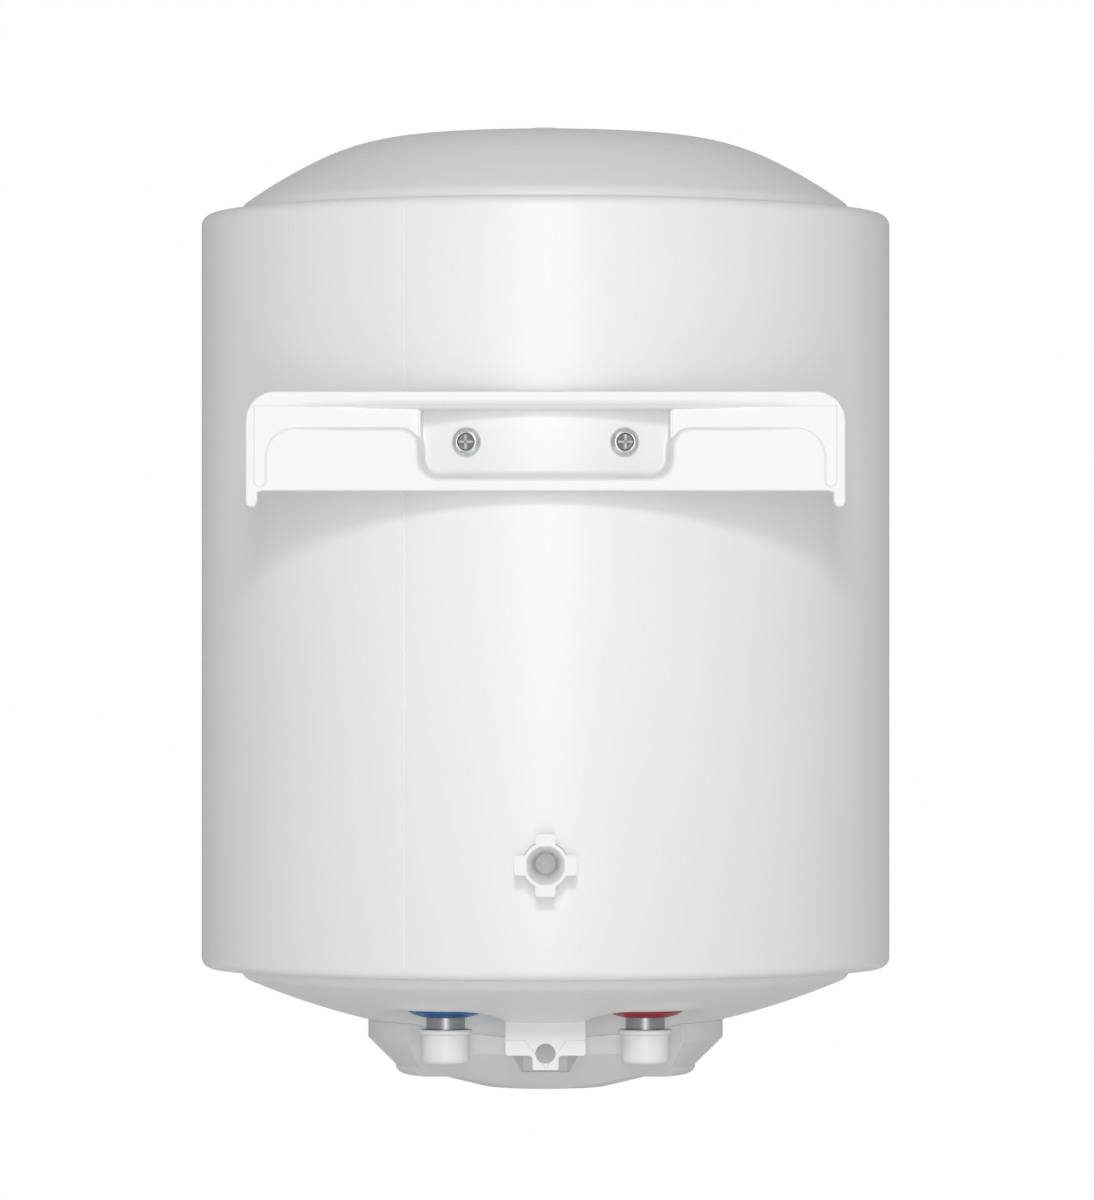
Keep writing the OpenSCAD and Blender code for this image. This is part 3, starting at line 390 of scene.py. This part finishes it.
bm = spun(dome(0) + [Vector((COVER_R, CASING_TOP - SKIRT)), Vector((COVER_R - COVER_T, CASING_TOP - SKIRT))]
          + dome(COVER_T)[::-1], 240, closed=False)
bmesh.ops.translate(bm, vec=(AXIS.x, AXIS.y, 0), verts=bm.verts)
piece("top_dome", bm, "top_cover", [plastic])

PLUG_R = 9.5 * MM
PLUG_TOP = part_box("filling_plug")[1].z
bm = spun(outline([
    (0, PLUG_TOP - 0.3 * MM), (PLUG_R - 1.4 * MM, PLUG_TOP - 0.9 * MM, 1.8 * MM),
    (PLUG_R, DOME_TOP + 0.6 * MM, 0.8 * MM),
    (PLUG_R, DOME_TOP - 0.2 * MM), (6.8 * MM, DOME_TOP - 0.2 * MM), (6.8 * MM, DOME_TOP - 4 * MM, 0.8 * MM),
    (0, DOME_TOP - 4 * MM)]), 96, closed=False)
bmesh.ops.translate(bm, vec=(AXIS.x, AXIS.y, 0), verts=bm.verts)
piece("crown_plug", bm, "filling_plug", [plastic])


# ---- bottom cover ----
# A white moulded bowl under the casing, with a shallow dish round each pipe.
# The dish runs out softly into the bowl, as the moulding tool was polished.
BOWL_LOW = CASING_LOW - 37 * MM
SERVICE_R = 52 * MM
PIPE_X, PIPE_Y = 50 * MM, AXIS.y - 90 * MM
DISH_Z = CASING_LOW - 17.7 * MM
bowl_turn = 36.5 * MM
edge_x = COVER_R - COVER_EDGE
BOWL_R = (edge_x ** 2 + bowl_turn ** 2 - COVER_EDGE ** 2) / (2 * (bowl_turn - COVER_EDGE))


def bowl(inset, steps):
    turn = math.degrees(math.asin(edge_x / (BOWL_R - COVER_EDGE)))
    start = math.degrees(math.asin(SERVICE_R / (BOWL_R - inset)))
    edge_z = BOWL_LOW + BOWL_R - (BOWL_R - COVER_EDGE) * math.cos(math.radians(turn))
    return (arc(0, BOWL_LOW + BOWL_R, BOWL_R - inset, -90 + start, -90 + turn, steps)
            + arc(edge_x, edge_z, COVER_EDGE - inset, -90 + turn, 0, 10)[1:])


def dished(x, y, z, deepest):
    """Height of the bowl's skin once the dish round the nearer pipe is pressed in."""
    away = math.hypot(abs(x) - PIPE_X, y - PIPE_Y)
    share = max(0.0, min(1.0, (34 * MM - away) / (13 * MM)))
    share = share * share * (3 - 2 * share)
    return z + (deepest - z) * share


skirt_end = [Vector((COVER_R, CASING_LOW + SKIRT)), Vector((COVER_R - COVER_T, CASING_LOW + SKIRT))]
bm = spun(bowl(0, 56) + skirt_end + bowl(COVER_T, 56)[::-1], 300)
bmesh.ops.translate(bm, vec=(AXIS.x, AXIS.y, 0), verts=bm.verts)
centre = BOWL_LOW + BOWL_R
for vert in bm.verts:
    if vert.co.z < CASING_LOW - 1 * MM:
        depth = BOWL_R - (vert.co - Vector((AXIS.x, AXIS.y, centre))).length
        vert.co.z = dished(vert.co.x, vert.co.y, vert.co.z, DISH_Z + depth)
piece("bottom_bowl", bm, "bottom_cover", [plastic], sharp=50)


# ---- hanging bracket ----
# One pressed sheet: a turned rim, a groove under the upper lip that deepens towards the middle,
# and a well that reaches the casing and takes the two screws. Its ends run down into two legs.
BRACKET_X = 146.3
BRACKET_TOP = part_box("wall_bracket")[1].z / MM
PLATE_LOW = -3.4
CORNER = 14.6
LEG_IN, LEG_LOW, LEG_R = 140.5, -11.2, 2.9
RIM_BACK = 13.0
SHEET = 2.0
LIP_Z, LIP_EASE = BRACKET_TOP - 7.2, 3.6
SHELF_Z = BRACKET_TOP - 17.9
WELL_X, WELL_Z, WELL_R = 61.4, BRACKET_TOP - 41.9, 9.7
ARM_IN, ARM_OUT, ARM_R = 136.4, 141.9, 14.6


def wall_drop(inside, depth, ease, run, foot):
    """Depth of a pressed wall at a distance inside its edge: rounded over, steep, rounded in."""
    if inside <= -ease:
        return 0.0
    first = min(ease, 0.8 * depth)
    second = depth - min(foot, 0.2 * depth)
    if inside <= 0:
        return first * (1 - math.sqrt(max(0.0, 1 - ((inside + ease) / ease) ** 2)))
    if inside <= run:
        return first + (second - first) * inside / run
    if inside <= run + foot:
        return second + (depth - second) * math.sqrt(max(0.0, 1 - ((run + foot - inside) / foot) ** 2))
    return depth


def corner_gap(a, b, radius):
    return min(max(a + radius, b + radius), 0) + math.hypot(max(a + radius, 0), max(b + radius, 0)) - radius


def relief(x, z):
    """How far the bracket's face lies behind its flat front, in millimetres."""
    x = abs(x)
    if z < 15.4 and x < 98:
        shelf = WELL_R - (min(max(x - WELL_X + WELL_R, WELL_Z + WELL_R - z), 0)
                          + math.hypot(max(x - WELL_X + WELL_R, 0), max(WELL_Z + WELL_R - z, 0)))
    elif x < 98:
        shelf = corner_gap(WELL_X - x, z - SHELF_Z, WELL_R)
    else:
        shelf = corner_gap(x - ARM_IN, z - SHELF_Z, ARM_R)
    lip = LIP_Z - z
    half = (ARM_OUT - ARM_IN) / 2
    arm = ARM_OUT - x if z > 1.6 else half - math.hypot(x - ARM_IN - half, z - 1.6)
    share = max(0.0, min(1.0, (126 - x) / (126 - 66)))
    deep = 0.55 + 4.4 * share
    soft = min(1.0, share * 4)
    groove = min(wall_drop(shelf, deep, 0.5 + 1.8 * soft, 0.15, 0.3),
                 wall_drop(lip, deep, 0.5 + (LIP_EASE - 0.5) * soft, 0.15, 0.3),
                 wall_drop(arm, deep, 0.5, 0.15, 0.3))
    if x > WELL_X + 8:
        return groove
    floor_y = (AXIS.y - math.sqrt((CASING_R + 2.2 * MM) ** 2 - (min(x, 66) * MM) ** 2)) / MM
    well = min(wall_drop(shelf, floor_y, 2.8, 1.6, 2.5),
               wall_drop(lip, floor_y, LIP_EASE, 0.4, 1.2),
               wall_drop(WELL_X + 0.7 - x, floor_y, 0.8, 1.4, 2.0))
    return max(groove, well)


def spaced(*stops):
    """Grid lines: (start, spacing) pairs up to the last stop."""
    lines = []
    for (start, gap), (end, _) in zip(stops, stops[1:]):
        count = max(1, round(abs(end - start) / gap))
        lines += [start + (end - start) * k / count for k in range(count)]
    return lines + [stops[-1][0]]


rows = spaced((BRACKET_TOP, 0.25), (BRACKET_TOP - 1, 0.6), (42.4, 0.3), (36.6, 0.8), (29.2, 0.4), (24.4, 0.5),
              (0.5, 0.55), (-2.6, 0.25), (PLATE_LOW, 0.25))
legs = spaced((PLATE_LOW, 0.4), (PLATE_LOW - 1.7, 0.6), (-8.3, 0.3), (LEG_LOW, 0.3))[1:]
half_lines = spaced((0, 2.0), (48, 0.45), (70, 1.4), (119, 0.45), (138.8, 0.35), (145.3, 0.25),
                    (BRACKET_X, 0.25))
columns = [-x for x in half_lines[:0:-1]] + half_lines


def bracket_spot(x, z):
    """Pulls a grid point in to the rounded outline of the bracket."""
    side, away = math.copysign(1, x), abs(x)
    if z > BRACKET_TOP - CORNER and away > BRACKET_X - CORNER:
        reach = math.sqrt(max(0.0, CORNER ** 2 - (z - BRACKET_TOP + CORNER) ** 2))
        away = BRACKET_X - CORNER + (away - BRACKET_X + CORNER) * reach / CORNER
    if z <= PLATE_LOW and away >= 138.8:
        fillet = 1.7
        gone = min(fillet, PLATE_LOW - z)
        inner = LEG_IN - fillet + math.sqrt(fillet ** 2 - (fillet - gone) ** 2)
        if z < LEG_LOW + LEG_R:
            reach = math.sqrt(max(0.0, LEG_R ** 2 - (LEG_LOW + LEG_R - z) ** 2))
            inner, outer = BRACKET_X - LEG_R - reach, BRACKET_X - LEG_R + reach
        else:
            outer = BRACKET_X
        away = inner + (away - 138.8) * (outer - inner) / (BRACKET_X - 138.8)
    return side * away, z


def edge_gap(x, z):
    """Distance of a point of the bracket from its rounded outline."""
    x = abs(x)
    if z > BRACKET_TOP - CORNER and x > BRACKET_X - CORNER:
        return CORNER - math.hypot(x - BRACKET_X + CORNER, z - BRACKET_TOP + CORNER)
    if z < LEG_LOW + LEG_R:
        return LEG_R - math.hypot(x - BRACKET_X + LEG_R, z - LEG_LOW - LEG_R)
    if z < PLATE_LOW:
        return min(BRACKET_X - x, x - LEG_IN + 0.2)
    below = z - PLATE_LOW if x < 138.8 else 9.0
    return min(BRACKET_X - x, BRACKET_TOP - z, below)


bm = bmesh.new()
front, back = {}, {}
EASE = 0.8
for j, z in enumerate(rows + legs):
    for i, x in enumerate(columns):
        if j >= len(rows) and abs(x) < 138.79:
            continue
        px, pz = bracket_spot(x, z)
        gap = max(0.0, min(EASE, edge_gap(px, pz)))
        depth = relief(px, pz) + EASE - math.sqrt(EASE ** 2 - (EASE - gap) ** 2)
        front[i, j] = bm.verts.new((px * MM, depth * MM, pz * MM))
        share = max(0.0, min(1.0, (pz - PLATE_LOW) / 4)) if abs(px) > 138 else 1.0
        leg_x = math.copysign(BRACKET_X - LEG_R + (abs(px) - BRACKET_X + LEG_R) * 0.4, px)
        bx = leg_x * (1 - share) + px * (1 - SHEET / BRACKET_X) * share
        bz = pz - SHEET * max(0.0, min(1.0, (pz - 18) / (BRACKET_TOP - 18)))
        if pz < LEG_LOW + LEG_R:
            bz = LEG_LOW + LEG_R + (pz - LEG_LOW - LEG_R) * 0.4
        back[i, j] = bm.verts.new((bx * MM, (depth + SHEET) * MM, bz * MM))
pairs = {front[key]: back[key] for key in front}
for (i, j) in list(front):
    cell = [(i, j), (i + 1, j), (i + 1, j + 1), (i, j + 1)]
    if all(key in front for key in cell):
        bm.faces.new([front[key] for key in cell])
        bm.faces.new([back[key] for key in reversed(cell)])
ring_out, ring_in = {}, {}
for edge in [e for e in bm.edges if e.is_boundary and e.verts[0] in pairs and e.verts[1] in pairs]:
    a, b = edge.verts
    low_edge = max(abs(a.co.z - PLATE_LOW * MM), abs(b.co.z - PLATE_LOW * MM)) < 1e-6
    if low_edge and max(abs(a.co.x), abs(b.co.x)) < 0.1389:
        bm.faces.new((a, b, pairs[b], pairs[a]))
        continue
    for vert in (a, b):
        if vert not in ring_out:
            ring_out[vert] = bm.verts.new((vert.co.x, RIM_BACK * MM, vert.co.z))
            inner = pairs[vert].co
            ring_in[vert] = bm.verts.new((inner.x, RIM_BACK * MM, inner.z))
    bm.faces.new((a, b, ring_out[b], ring_out[a]))
    bm.faces.new((ring_out[a], ring_out[b], ring_in[b], ring_in[a]))
    bm.faces.new((ring_in[a], ring_in[b], pairs[b], pairs[a]))
bracket_enamel = white("bracket_enamel", (0.885, 0.885, 0.885), 0.38, 700.0, 0.05)
piece("pressed_bracket", bm, "wall_bracket", [bracket_enamel], sharp=70)


# ---- bracket screws ----
# Two zinc-plated pan heads that clamp the bracket to the tank's bosses, each turned to the
# axis of the round casing. The head has a sunk disc with a cross standing in it. The disc gets
# a much darker zinc: painted shade in the recess, not the plating's own colour.
def metal(name, dark, light, roughness, scale, stretch=None, grain=0.05):
    made = Finish(name)
    marks = made.noise(scale, 4.0, stretch)
    made.set(Base_Color=made.mix(marks.step(0.3, 0.7), dark, light), Metallic=1.0,
             Roughness=roughness + (marks - 0.5) * 0.12)
    made.bump(marks, grain, 0.0001)
    return made.material


zinc = metal("zinc_plate", (0.66, 0.67, 0.68), (0.78, 0.79, 0.80), 0.34, 400.0)
SCREW_X = 39 * MM
SCREW_Z = BRACKET_TOP * MM - 24.3 * MM
SEAT = CASING_R + 2.3 * MM
bm = bmesh.new()
for side in (-1, 1):
    head = spun([p * MM for p in outline([
        (0, 1.5), (4.0, 1.5, 0.3), (4.3, 2.8, 0.15), (5.0, 2.9, 0.8), (7.2, 1.6, 1.6), (7.2, 0, 0.2),
        (4, 0), (4, -8), (0, -8)])], 64, closed=False)
    # faces of the sunk disc take the dark zinc, which is painted shade in the recess
    for face in head.faces:
        middle = face.calc_center_median()
        sunk = math.hypot(middle.x, middle.y) < 4.2 * MM and 1.2 * MM < middle.z < 2.7 * MM
        face.material_index = int(sunk)
    for turn in (0, 90):
        bar = (Matrix.Rotation(math.radians(turn), 4, "Z") @ Matrix.Translation((0, 0, 2.1 * MM))
               @ Matrix.Diagonal((7.4, 1.15, 1.5, 1)))
        bmesh.ops.create_cube(head, size=MM, matrix=bar)
    angle = math.asin(side * SCREW_X / (SEAT + 2 * MM))
    where = (Matrix.Translation((AXIS.x, AXIS.y, SCREW_Z)) @ Matrix.Rotation(math.radians(90), 4, "X")
             @ Matrix.Rotation(angle, 4, "Y") @ Matrix.Translation((0, 0, SEAT)))
    bmesh.ops.transform(head, matrix=where, verts=head.verts)
    part = bpy.data.meshes.new("screw_head")
    head.to_mesh(part)
    head.free()
    bm.from_mesh(part)
    bpy.data.meshes.remove(part)
# dark zinc for the sunk disc: painted shade standing in for the shade in the recess
dark_zinc_painted_shade = metal("zinc_plate_painted_shade", (0.20, 0.20, 0.21), (0.28, 0.28, 0.29), 0.5, 400.0)
piece("bracket_screw_heads", bm, "bracket_screws", [zinc, dark_zinc_painted_shade], sharp=28)


# ---- wall spacer ----
# A white moulded plug with four lugs, screwed in or out until the heater hangs plumb.
# Its bore tapers, and a coarse thread runs down its neck into the socket.
bright = white("white_bright_plastic", (0.90, 0.90, 0.90), 0.40, 1200.0, 0.03)
SPACER_Z = (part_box("wall_spacer")[0].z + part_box("wall_spacer")[1].z) / 2
SPACER_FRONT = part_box("wall_spacer")[0].y
BARREL, LUG_REACH, LUG_HALF, LUG_T = 11.15, 15.25, 4.9, 5.0
lobe = []
turn = math.degrees(math.asin(LUG_HALF / BARREL))
for k in range(6):
    lobe.append(Vector((BARREL * math.cos(math.radians(-45 + (45 - turn) * k / 6)),
                        BARREL * math.sin(math.radians(-45 + (45 - turn) * k / 6)))))
root = math.sqrt(BARREL ** 2 - LUG_HALF ** 2)
lobe += outline([(root, -LUG_HALF), (LUG_REACH, -LUG_HALF, 1.5), (LUG_REACH, LUG_HALF, 1.5),
                 (root, LUG_HALF)])
lobe += [Vector((p.x, -p.y)) for p in lobe[5:0:-1]]
shape = [Matrix.Rotation(math.radians(90 * q), 2) @ p for q in range(4) for p in lobe]


def hoop(bm, radius, depth):
    """A ring of vertices on the spacer's own directions, or on its full outline."""
    made = []
    for p in shape:
        spot = p if radius is None else p.normalized() * radius
        made.append(bm.verts.new((spot.x * MM, SPACER_FRONT + depth * MM, SPACER_Z + spot.y * MM)))
    return made


bm = bmesh.new()
# None stands for the full outline with its lugs
profile = [(0.02, 31.0), (5.0, 31.0), (8.9, 1.0), (9.65, 0.0), (None, 0.0), (None, LUG_T), (BARREL, LUG_T)]
depth = LUG_T + 1.5
while depth < 30:
    profile += [(BARREL, depth), (BARREL - 0.7, depth + 0.6), (BARREL - 0.7, depth + 0.9),
                (BARREL, depth + 1.5)]
    depth += 2.0
profile += [(BARREL, 33.0), (0.02, 33.0)]
hoops = [hoop(bm, radius, depth) for radius, depth in profile]
for first, second in zip(hoops, hoops[1:]):
    for k in range(len(shape)):
        n = (k + 1) % len(shape)
        bm.faces.new((first[k], first[n], second[n], second[k]))
bm.faces.new(hoops[0])
bm.faces.new(hoops[-1])
bmesh.ops.recalc_face_normals(bm, faces=bm.faces)
rim = [e for e in bm.edges if e.calc_face_angle(0) > math.radians(60)
       and max(v.co.y for v in e.verts) < SPACER_FRONT + (LUG_T + 0.1) * MM
       and min(math.hypot(v.co.x, v.co.z - SPACER_Z) for v in e.verts) > 10.9 * MM
       and abs(e.verts[0].co.y - e.verts[1].co.y) < 1e-6]
bmesh.ops.bevel(bm, geom=rim, offset=0.35 * MM, segments=2, profile=0.5, affect="EDGES", material=-1,
                clamp_overlap=True)
shade = Finish("spacer_plastic_shaded_bore")
split = shade.node("ShaderNodeSeparateXYZ", Vector=shade.place())
deep = Value(shade.tree, split.outputs["Y"]).step(SPACER_FRONT + 0.5 * MM, SPACER_FRONT + 24 * MM)
shade.set(Base_Color=shade.mix(deep, (0.90, 0.90, 0.90), (0.78, 0.78, 0.78)), Roughness=0.42 + deep * 0.3)
shade.bump(shade.noise(1200.0, 2.0), 0.03, 0.0002)
piece("lug_spacer", bm, "wall_spacer", [shade.material], sharp=38)


# ---- coloured rings ----
# Dished washers of dyed plastic that mark the pipes: blue for the cold inlet, red for the hot outlet.
# Their rims lie against the bottom cover and their middles grip the pipe.
def dyed(name, colour, roughness):
    made = Finish(name)
    marks = made.noise(220.0, 3.0)
    made.set(Base_Color=made.mix(marks, tuple(c * 0.9 for c in colour), colour),
             Roughness=roughness + (marks - 0.5) * 0.08)
    made.bump(marks, 0.06, 0.0002)
    return made.material


blue = dyed("blue_ring_plastic", (0.022, 0.135, 0.40), 0.35)
red = dyed("red_ring_plastic", (0.42, 0.020, 0.035), 0.35)
RING_R = 19.0 * MM
for node, x, dye in (("cold_ring", -PIPE_X, blue), ("hot_ring", PIPE_X, red)):
    low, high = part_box(node)
    bm = spun(outline([
        (9.9 * MM, high.z), (RING_R, high.z, 0.25 * MM), (RING_R, high.z - 0.6 * MM, 0.25 * MM),
        (16 * MM, low.z + 1.3 * MM, 8 * MM), (11.5 * MM, low.z, 4 * MM), (9.9 * MM, low.z)],
        closed=True), 128)
    bmesh.ops.translate(bm, vec=(x, PIPE_Y, 0), verts=bm.verts)
    piece(node + "_dish", bm, node, [dye])


# ---- pipe nipples ----
# Turned steel pipes with a half-inch pipe thread at the end, one over each cap.
# The lathe left fine rings round the neck.
turned_steel = metal("turned_steel", (0.38, 0.38, 0.39), (0.44, 0.44, 0.45), 0.40, 900.0,
                     (0.02, 0.02, 1.0), 0.06)
NECK_R, THREAD_R, ROOT_R, BORE_R, PITCH = 9.75 * MM, 10.4775 * MM, 9.32 * MM, 7.5 * MM, 1.814 * MM
for node, x in (("cold_nipple", -PIPE_X), ("hot_nipple", PIPE_X)):
    low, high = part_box(node)
    points = [Vector((BORE_R, high.z)), Vector((NECK_R, high.z)), Vector((NECK_R, low.z + 13.2 * MM))]
    z = low.z + 12.6 * MM
    while z > low.z + 1.9 * MM:
        points += [Vector((ROOT_R, z)), Vector((THREAD_R, z - 0.72 * MM)), Vector((THREAD_R, z - 1.06 * MM))]
        z -= PITCH
    points += [Vector((ROOT_R, max(z, low.z + 0.6 * MM))), Vector((9.4 * MM, low.z)), Vector((BORE_R, low.z))]
    bm = spun(points, 96)
    bmesh.ops.translate(bm, vec=(x, PIPE_Y, 0), verts=bm.verts)
    piece(node + "_pipe", bm, node, [turned_steel], sharp=25)


# ---- protective caps ----
# Soft white caps pushed over the threads for transport, each with a stiff rim to pull at.
CAP_IN, CAP_OUT, CAP_RIM = 11.12 * MM, 11.72 * MM, 13.55 * MM
for node, x in (("cold_cap", -PIPE_X), ("hot_cap", PIPE_X)):
    low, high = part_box(node)
    bm = spun(outline([
        (0, low.z), (CAP_OUT, low.z, 2.6 * MM), (CAP_OUT, high.z - 2.6 * MM, 0.25 * MM),
        (CAP_RIM, high.z - 2.5 * MM, 1.0 * MM), (CAP_RIM, high.z, 0.9 * MM), (CAP_IN, high.z, 0.2 * MM),
        (CAP_IN, low.z + 1.0 * MM, 1.6 * MM), (0, low.z + 1.0 * MM)]), 128, closed=False)
    bmesh.ops.translate(bm, vec=(x, PIPE_Y, 0), verts=bm.verts)
    piece(node + "_cup", bm, node, [bright])


# ---- fixing tab ----
# A white tab bent down between the pipes, with a hole and a tongue, for securing the heater.
# Its root leans back into the bottom cover, and its lower half stands a little proud.
TAB_Y = AXIS.y - 104 * MM
TAB_HALF, TONGUE = 20.0, 6.5
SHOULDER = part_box("fixing_tab")[0].z / MM + 7.2
TAB_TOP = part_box("fixing_tab")[1].z / MM
HOLE_R, HOLE_Z = 5.0, SHOULDER + 1.0
BEND = SHOULDER + 7.6
TAB_T = 1.5
TAB_LEAN, TAB_PROUD = 7.0, 0.65
TONGUE_L = 7.2


def tab_gap(x, z):
    """Signed distance of a point from the tab's outline, negative inside."""
    x = abs(x)
    upper = corner_gap(x - TAB_HALF, SHOULDER - z, 1.2)
    tongue = corner_gap(x - TONGUE, SHOULDER - TONGUE_L - z, 1.0)
    fillet = 2.0 - math.hypot(x - TONGUE - 2.0, z - SHOULDER + 2.0)
    body = min(upper, tongue)
    if TONGUE < x < TONGUE + 2 and SHOULDER - 2 < z < SHOULDER:
        body = min(body, fillet)
    return max(body, HOLE_R - math.hypot(x, z - HOLE_Z), z - TAB_TOP)


def tab_depth(x, z):
    rise = max(0.0, (z - BEND) / (TAB_TOP - BEND))
    depth = TAB_LEAN * rise ** 1.5
    x = abs(x)
    crease = BEND if x > 10.3 else BEND - max(0.0, (10.3 - x) * 1.35)
    proud = max(0.0, min(1.0, (crease - z) / 0.45 + 0.5))
    return depth + TAB_PROUD * (1 - proud * proud * (3 - 2 * proud))


bm = bmesh.new()
STEP = 0.4
count_x, count_z = round(2 * TAB_HALF / STEP), round((TAB_TOP - SHOULDER + TONGUE_L) / STEP)
grid = {}
for i in range(count_x + 1):
    for j in range(count_z + 1):
        rise = j * (TAB_TOP - SHOULDER + TONGUE_L) / count_z
        grid[i, j] = [-TAB_HALF + i * STEP, SHOULDER - TONGUE_L + rise]
cells = [(i, j) for i in range(count_x) for j in range(count_z)
         if tab_gap(grid[i, j][0] + STEP / 2, grid[i, j][1] + STEP / 2) < 0]
used = {}
for i, j in cells:
    for key in ((i, j), (i + 1, j), (i + 1, j + 1), (i, j + 1)):
        used[key] = used.get(key, 0) + 1
for key, count in used.items():
    for _ in range(3 if count < 4 else 0):
        x, z = grid[key]
        gap = tab_gap(x, z)
        slope = Vector(((tab_gap(x + 0.01, z) - gap) / 0.01, (tab_gap(x, z + 0.01) - gap) / 0.01))
        if slope.length > 0.3:
            grid[key] = [x - gap * slope.x / slope.length_squared, z - gap * slope.y / slope.length_squared]
face_verts = {}
back_verts = {}
for key in used:
    x, z = grid[key]
    y = TAB_Y + tab_depth(x, z) * MM
    face_verts[key] = bm.verts.new((x * MM, y, z * MM))
    back_verts[key] = bm.verts.new((x * MM, y + TAB_T * MM, z * MM))
for i, j in cells:
    cell = ((i, j), (i + 1, j), (i + 1, j + 1), (i, j + 1))
    bm.faces.new([face_verts[key] for key in cell])
    bm.faces.new([back_verts[key] for key in reversed(cell)])
pairs = {face_verts[key]: back_verts[key] for key in used}
for edge in [e for e in bm.edges if e.is_boundary and e.verts[0] in pairs]:
    a, b = edge.verts
    bm.faces.new((a, b, pairs[b], pairs[a]))
bmesh.ops.recalc_face_normals(bm, faces=bm.faces)
rim = [e for e in bm.edges if e.calc_face_angle(0) > math.radians(60)]
bmesh.ops.bevel(bm, geom=rim, offset=0.12 * MM, segments=2, profile=0.5, affect="EDGES", material=-1,
                clamp_overlap=True)
piece("folded_tab", bm, "fixing_tab", [bright], sharp=50)


# ---- control cover and the small pieces that keep their CAD shape ----
# The moulded cover over the wiring, its screws, lamp and rubber grommet, and the spacer's socket.
# Their edges are eased as a mould or a lathe would leave them.
def merged(node, material, bevel, segments=2, sharp=30):
    source = frame["nodes"][node]
    bm = bmesh.new()
    bm.from_mesh(source.data)
    bmesh.ops.remove_doubles(bm, verts=bm.verts, dist=2e-6)
    bmesh.ops.dissolve_limit(bm, angle_limit=math.radians(0.05), verts=bm.verts, edges=bm.edges,
                             delimit=set())
    made = piece(node + "_eased", bm, node, [material], sharp)
    if bevel:
        eased = made.modifiers.new("eased", "BEVEL")
        eased.width = bevel
        eased.segments = segments
        eased.limit_method = "ANGLE"
        eased.angle_limit = math.radians(sharp)
        eased.harden_normals = True
        eased.use_clamp_overlap = True
    return made


black_rubber = dyed("black_rubber", (0.03, 0.03, 0.03), 0.7)
amber = dyed("amber_lens", (0.85, 0.28, 0.04), 0.15)
lower_plastic = white("white_cover_plastic", (0.84, 0.84, 0.84), 0.45, 1400.0, 0.04)
merged("control_cover", lower_plastic, 0.8 * MM, 3)
merged("spacer_socket", bright, 0.2 * MM)
merged("cover_screws", zinc, 0.1 * MM)
merged("cable_grommet", black_rubber, 0.3 * MM)
merged("indicator_lamp", amber, 0.3 * MM, 3)


# ---- pieces inside ----
# The enamelled tank, its foam, its flange and what the flange carries, as built.
inner = {
    "pu_foam": dyed("rigid_foam", (0.84, 0.75, 0.52), 0.9),
    "tank_enamel": dyed("vitreous_enamel", (0.03, 0.07, 0.13), 0.15),
    "zinc_steel": zinc,
    "nipple_steel": turned_steel,
    "grey_plastic": dyed("grey_polypropylene", (0.70, 0.72, 0.75), 0.5),
    "black_rubber": black_rubber,
    "copper_sheath": metal("copper_sheath", (0.70, 0.40, 0.24), (0.80, 0.48, 0.30), 0.3, 300.0),
    "magnesium": metal("cast_magnesium", (0.45, 0.45, 0.44), (0.56, 0.56, 0.55), 0.55, 200.0, None, 0.2),
    "cream_plastic": dyed("cream_thermoset", (0.78, 0.75, 0.66), 0.5),
    "black_plastic": dyed("black_polyamide", (0.03, 0.03, 0.035), 0.4),
    "red_button": dyed("red_button_plastic", (0.55, 0.03, 0.03), 0.35),
    "brass": metal("turned_brass", (0.70, 0.50, 0.22), (0.80, 0.60, 0.28), 0.25, 300.0),
    "brown_wire": dyed("brown_insulation", (0.16, 0.07, 0.03), 0.5),
    "blue_wire": dyed("blue_insulation", (0.03, 0.12, 0.40), 0.5),
    "green_wire": dyed("green_insulation", (0.12, 0.36, 0.05), 0.5),
    "amber_lens": amber,
    "white_enamel": enamel, "white_plastic": plastic, "spacer_plastic": bright,
    "blue_plastic": blue, "red_plastic": red,
}
for part in frame["record"]["subparts"]:
    mesh = frame["nodes"][part["node"]].data
    mesh.materials.clear()
    mesh.materials.append(inner[part["material_slot"]])
